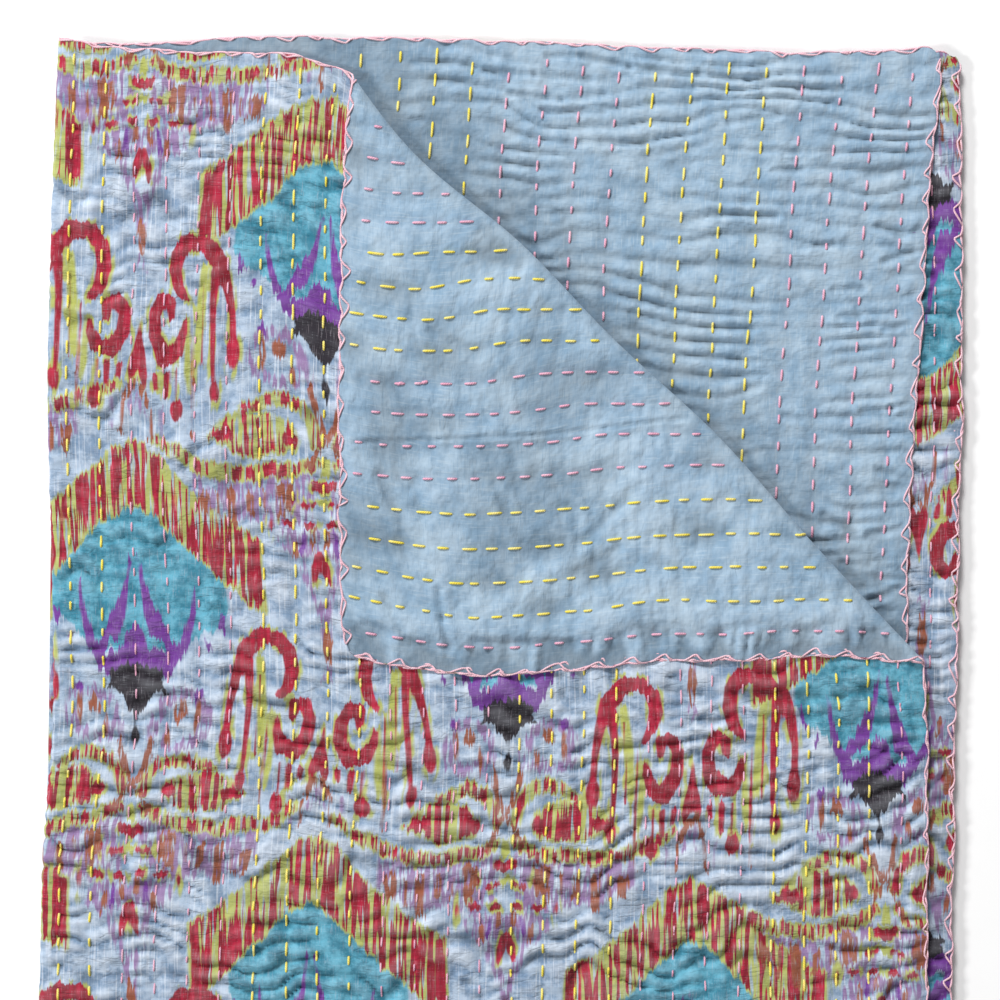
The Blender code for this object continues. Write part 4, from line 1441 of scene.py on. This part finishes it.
def overcast(side):
    """Flat places and heights of the threads that bind every hem on one side of the quilt."""
    # One stitch: a slanting bite into the cloth, a steeper way back, then a run along the edge
    share = np.array([0.00, 0.08, 0.17, 0.27, 0.36, 0.44, 0.48, 0.53, 0.60, 0.70, 0.85, 1.00])
    bite = np.array([0.00, 0.16, 0.40, 0.68, 0.92, 1.02, 1.00, 0.66, 0.22, -0.05, -0.10, 0.00])
    lift = np.array([0.6, 0.9, 0.8, 0.7, 0.3, -0.5, -0.5, 0.5, 0.9, 0.6, 0.5, 0.6]) * HEM_THREAD / 2
    hems = ((LENGTH, False), (LENGTH, True), (WIDTH, False), (WIDTH, True))
    found = []
    for hem, (length, far) in enumerate(hems + hems):
        # The second strand keeps close to the edge
        second = hem >= len(hems)
        draws = np.random.default_rng(2000 + 10 * hem + side)
        count = int((length - CORNER_ROUND) / HEM_STITCH_PITCH)
        ends = np.linspace(CORNER_ROUND / 2, length - CORNER_ROUND / 2, count + 1)
        ends[1:-1] += draws.uniform(-0.30, 0.30, count - 1) * HEM_STITCH_PITCH
        run = ends[:-1, None] + (ends[1:] - ends[:-1])[:, None] * share
        depths = draws.uniform(0.50, 1.15, (count, 1)) * (SECOND_STRAND_DEPTH if second else 1.0)
        depths = depths * np.where(far or run[:, :1] < CORNER_LEG, 1.0, 0.5)
        inset = HEM_STITCH_DEPTH * bite * depths - (SECOND_STRAND_INSET if second else 0.0)
        across = (WIDTH - inset if far else inset) if length == LENGTH else run
        along = run if length == LENGTH else (LENGTH - inset if far else inset)
        keep = np.ones(count, dtype=bool)
        if side > 0:
            # The lowest layer's face lies on the floor
            keep = (along.mean(axis=1) < FOOT_FOLD - 0.02) | (across.mean(axis=1) > SIDE_FOLD + 0.02)
        found.append(np.stack([across[keep], along[keep], np.broadcast_to(lift, across[keep].shape)]))
    return np.concatenate(found, axis=1)


def dye_property(name, description, color):
    """A colour that a user can change."""
    settings = {"subtype": "COLOR", "size": 3, "min": 0.0, "max": 1.0}
    return FloatVectorProperty(name=name, description=description, default=color, **settings)


class ThrowCloth(bpy.types.PropertyGroup):
    """How the two cloths stand up between their stitches."""

    puff: FloatProperty(
        name="Puff",
        description="Height of a channel between two rows of stitches",
        default=0.0010,
        min=0.0,
        unit="LENGTH",
    )
    pucker: FloatProperty(
        name="Pucker",
        description="Height of the puckers that cross the channels",
        default=0.0039,
        min=0.0,
        unit="LENGTH",
    )
    crease: FloatProperty(
        name="Creases",
        description="Share of their full depth that the hand-placed creases have",
        default=1.0,
        min=0.0,
        max=1.0,
        subtype="FACTOR",
    )


class ThrowSewing(bpy.types.PropertyGroup):
    """The thread and its stitches."""

    stitch: FloatProperty(name="Stitch", description="Length of a stitch", default=0.0100, unit="LENGTH")
    gap: FloatProperty(name="Gap", description="Space between two stitches", default=0.0065, unit="LENGTH")
    thread: FloatProperty(name="Thread", description="Thickness of the thread", default=0.0021, unit="LENGTH")
    pink: dye_property("Pink", "Pink thread", (0.72, 0.33, 0.46))
    hem: dye_property("Hems", "Pale pink thread", (0.78, 0.45, 0.53))
    yellow: dye_property("Yellow", "Yellow thread", (0.84, 0.68, 0.05))


class ThrowPrint(bpy.types.PropertyGroup):
    """The colours of both cloths."""

    ground: dye_property("Ground", "Ground of the face", (0.38, 0.48, 0.61))
    deep_ground: dye_property("Deep ground", "Darker clouds of the ground", (0.17, 0.26, 0.39))
    pale_ground: dye_property("Pale ground", "Palest threads of the ground", (0.72, 0.77, 0.84))
    crimson: dye_property("Crimson", "Red of the motifs", (0.42, 0.010, 0.042))
    deep_crimson: dye_property("Deep crimson", "Darker red of the motifs", (0.24, 0.007, 0.020))
    lime: dye_property("Lime", "Yellow green round the reds", (0.39, 0.42, 0.10))
    turquoise: dye_property("Turquoise", "Inside of the arches", (0.12, 0.39, 0.52))
    deep_turquoise: dye_property("Deep turquoise", "Darker inside of the arches", (0.030, 0.19, 0.28))
    violet: dye_property("Violet", "Flames of the motifs", (0.15, 0.035, 0.27))
    black: dye_property("Black", "Cups of the motifs", (0.020, 0.016, 0.024))
    lavender: dye_property("Lavender", "Small figures", (0.25, 0.14, 0.31))
    rust: dye_property("Rust", "Small bars", (0.28, 0.080, 0.040))
    backing: dye_property("Backing", "Plain cloth", (0.31, 0.43, 0.55))
    deep_backing: dye_property("Deep backing", "Darker clouds of the plain cloth", (0.17, 0.29, 0.42))
    pale_backing: dye_property("Pale backing", "Paler threads of the plain cloth", (0.45, 0.55, 0.63))


class ThrowStage(bpy.types.PropertyGroup):
    """The floor, the light and the camera."""

    camera_height: FloatProperty(
        name="Camera height", description="Height above the throw", default=2.2, unit="LENGTH"
    )
    lens: FloatProperty(name="Lens", description="Focal length in millimetres", default=113.0)
    sky: FloatProperty(name="Sky", description="Strength of the light from all round", default=0.31)
    lamps: FloatProperty(name="Lamps", description="Power of the two soft lamps in watts", default=540.0)


class THROW_OT_face(bpy.types.Operator):
    """Make the printed face cloth"""

    bl_idname = "throw.face"
    bl_label = "Printed face"

    def execute(self, context):
        data, across, along = cloth_mesh("printed_face", 1, FACE_CUTS)
        fields = print_fields(across, along)
        slopes = (print_fields(across, along + MM) - fields) / MM
        # The height mask for pale ridges and painted shade goes with the dye fields
        height = ridge_and_shade_mask(1, across, along)[:, None]
        fields = np.concatenate([fields, height], axis=1)
        slopes = np.concatenate([slopes, height], axis=1)
        for i in range(FIELD_VECTORS):
            set_vectors(data, f"dye_field_{i}", fields[:, 3 * i : 3 * i + 3])
            set_vectors(data, f"dye_slope_{i}", slopes[:, 3 * i : 3 * i + 3])
        cloth = placed_object("printed_face", data, printed_cotton())
        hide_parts("face_cloth")
        return {"FINISHED"}


class THROW_OT_backing(bpy.types.Operator):
    """Make the plain backing cloth"""

    bl_idname = "throw.backing"
    bl_label = "Plain backing"

    def execute(self, context):
        data, across, along = cloth_mesh("plain_backing", -1, BACKING_CUTS)
        # The height mask for pale ridges, painted shade and the painted shadow beside the crease
        height = ridge_and_shade_mask(-1, across, along)
        set_vectors(data, "wear", np.stack([height, height, height], axis=-1))
        cloth = placed_object("plain_backing", data, plain_cotton())
        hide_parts("backing_cloth")
        return {"FINISHED"}


class THROW_OT_stitches(bpy.types.Operator):
    """Sew the rows of running stitch, pink and yellow"""

    bl_idname = "throw.stitches"
    bl_label = "Running stitches"

    def execute(self, context):
        sewing = context.scene.throw_sewing
        stitch_piece("pink", tuple(sewing.pink))
        stitch_piece("yellow", tuple(sewing.yellow))
        return {"FINISHED"}


class THROW_OT_hems(bpy.types.Operator):
    """Bind the hems with pink overcast stitches"""

    bl_idname = "throw.hems"
    bl_label = "Overcast hems"

    def execute(self, context):
        parts = []
        for side in (1, -1):
            across, along, above = overcast(side)
            parts.append(threads_on(side, across, along, above))
        places, ups, flats = (np.concatenate(group) for group in zip(*parts))
        radii = np.full(len(places), HEM_THREAD / 2)
        data = thread_mesh("overcast_hems", places, ups, flats, radii)
        material = cotton_thread("pale_pink_thread", tuple(context.scene.throw_sewing.hem))
        placed_object("overcast_hems", data, material)
        return {"FINISHED"}


def pale_floor():
    """A matte, nearly white floor with the faintest grain."""
    material, tree, shader = new_material("pale_floor")
    place = node(tree, "ShaderNodeTexCoord").outputs["Object"]
    grain = noise(tree, place, 30.0, detail=3.0)
    color = blend(tree, grain, (0.90, 0.90, 0.90, 1.0), (0.93, 0.93, 0.93, 1.0))
    tree.links.new(color, shader.inputs["Base Color"])
    shader.inputs["Roughness"].default_value = 0.9
    return material


class THROW_OT_stage(bpy.types.Operator):
    """Set the floor, the light and the camera"""

    bl_idname = "throw.stage"
    bl_label = "Stage"

    def execute(self, context):
        scene = context.scene
        stage = scene.throw_stage
        floor_data = bpy.data.meshes.new("floor")
        signs = ((-1, -1), (1, -1), (1, 1), (-1, 1))
        corners = [(i * FLOOR_REACH, j * FLOOR_REACH, FLOOR_LEVEL) for i, j in signs]
        floor_data.from_pydata(corners, [], [(0, 1, 2, 3)])
        floor_data.materials.append(pale_floor())
        floor = bpy.data.objects.new("floor", floor_data)
        scene.collection.objects.link(floor)

        world = bpy.data.worlds.new("soft_sky")
        world.use_nodes = True
        background = world.node_tree.nodes["Background"]
        background.inputs["Color"].default_value = (1.0, 1.0, 1.0, 1.0)
        background.inputs["Strength"].default_value = stage.sky
        scene.world = world

        for lamp in LAMPS:
            lamp_data = bpy.data.lights.new(lamp.name, "AREA")
            lamp_data.size = LAMP_SIZE
            lamp_data.energy = lamp.share * stage.lamps
            placed = bpy.data.objects.new(lamp.name, lamp_data)
            placed.location = lamp.place
            placed.rotation_euler = (-Vector(lamp.place)).to_track_quat("-Z", "Y").to_euler()
            scene.collection.objects.link(placed)

        camera_data = bpy.data.cameras.new("camera")
        camera_data.lens = stage.lens
        camera_data.sensor_width = SENSOR_WIDTH
        camera = bpy.data.objects.new("camera", camera_data)
        camera.location = (CAMERA_X, CAMERA_Y, PILE_TOP + stage.camera_height)
        scene.collection.objects.link(camera)
        scene.camera = camera
        scene.view_settings.view_transform = "Standard"
        return {"FINISHED"}


class THROW_PT_pieces(bpy.types.Panel):
    """The pieces of the throw and their sizes and colours"""

    bl_idname = "THROW_PT_pieces"
    bl_label = "Quilted throw"
    bl_space_type = "VIEW_3D"
    bl_region_type = "UI"
    bl_category = "Throw"

    def draw(self, context):
        for operator in OPERATORS:
            self.layout.operator(operator.bl_idname)
        for name in GROUPS:
            group = getattr(context.scene, name)
            for setting in group.__annotations__:
                self.layout.prop(group, setting)


OPERATORS = (THROW_OT_stitches, THROW_OT_hems, THROW_OT_face, THROW_OT_backing, THROW_OT_stage)
GROUPS = {
    "throw_cloth": ThrowCloth,
    "throw_sewing": ThrowSewing,
    "throw_print": ThrowPrint,
    "throw_stage": ThrowStage,
}


def register():
    for name, group in GROUPS.items():
        bpy.utils.register_class(group)
        setattr(bpy.types.Scene, name, PointerProperty(type=group))
    for made in (*OPERATORS, THROW_PT_pieces):
        bpy.utils.register_class(made)


def unregister():
    for made in reversed((*OPERATORS, THROW_PT_pieces)):
        bpy.utils.unregister_class(made)
    for name, group in reversed(GROUPS.items()):
        delattr(bpy.types.Scene, name)
        bpy.utils.unregister_class(group)


def main():
    register()
    bpy.ops.throw.stitches()
    bpy.ops.throw.hems()
    bpy.ops.throw.face()
    bpy.ops.throw.backing()
    bpy.ops.throw.stage()


if __name__ == "__main__":
    main()
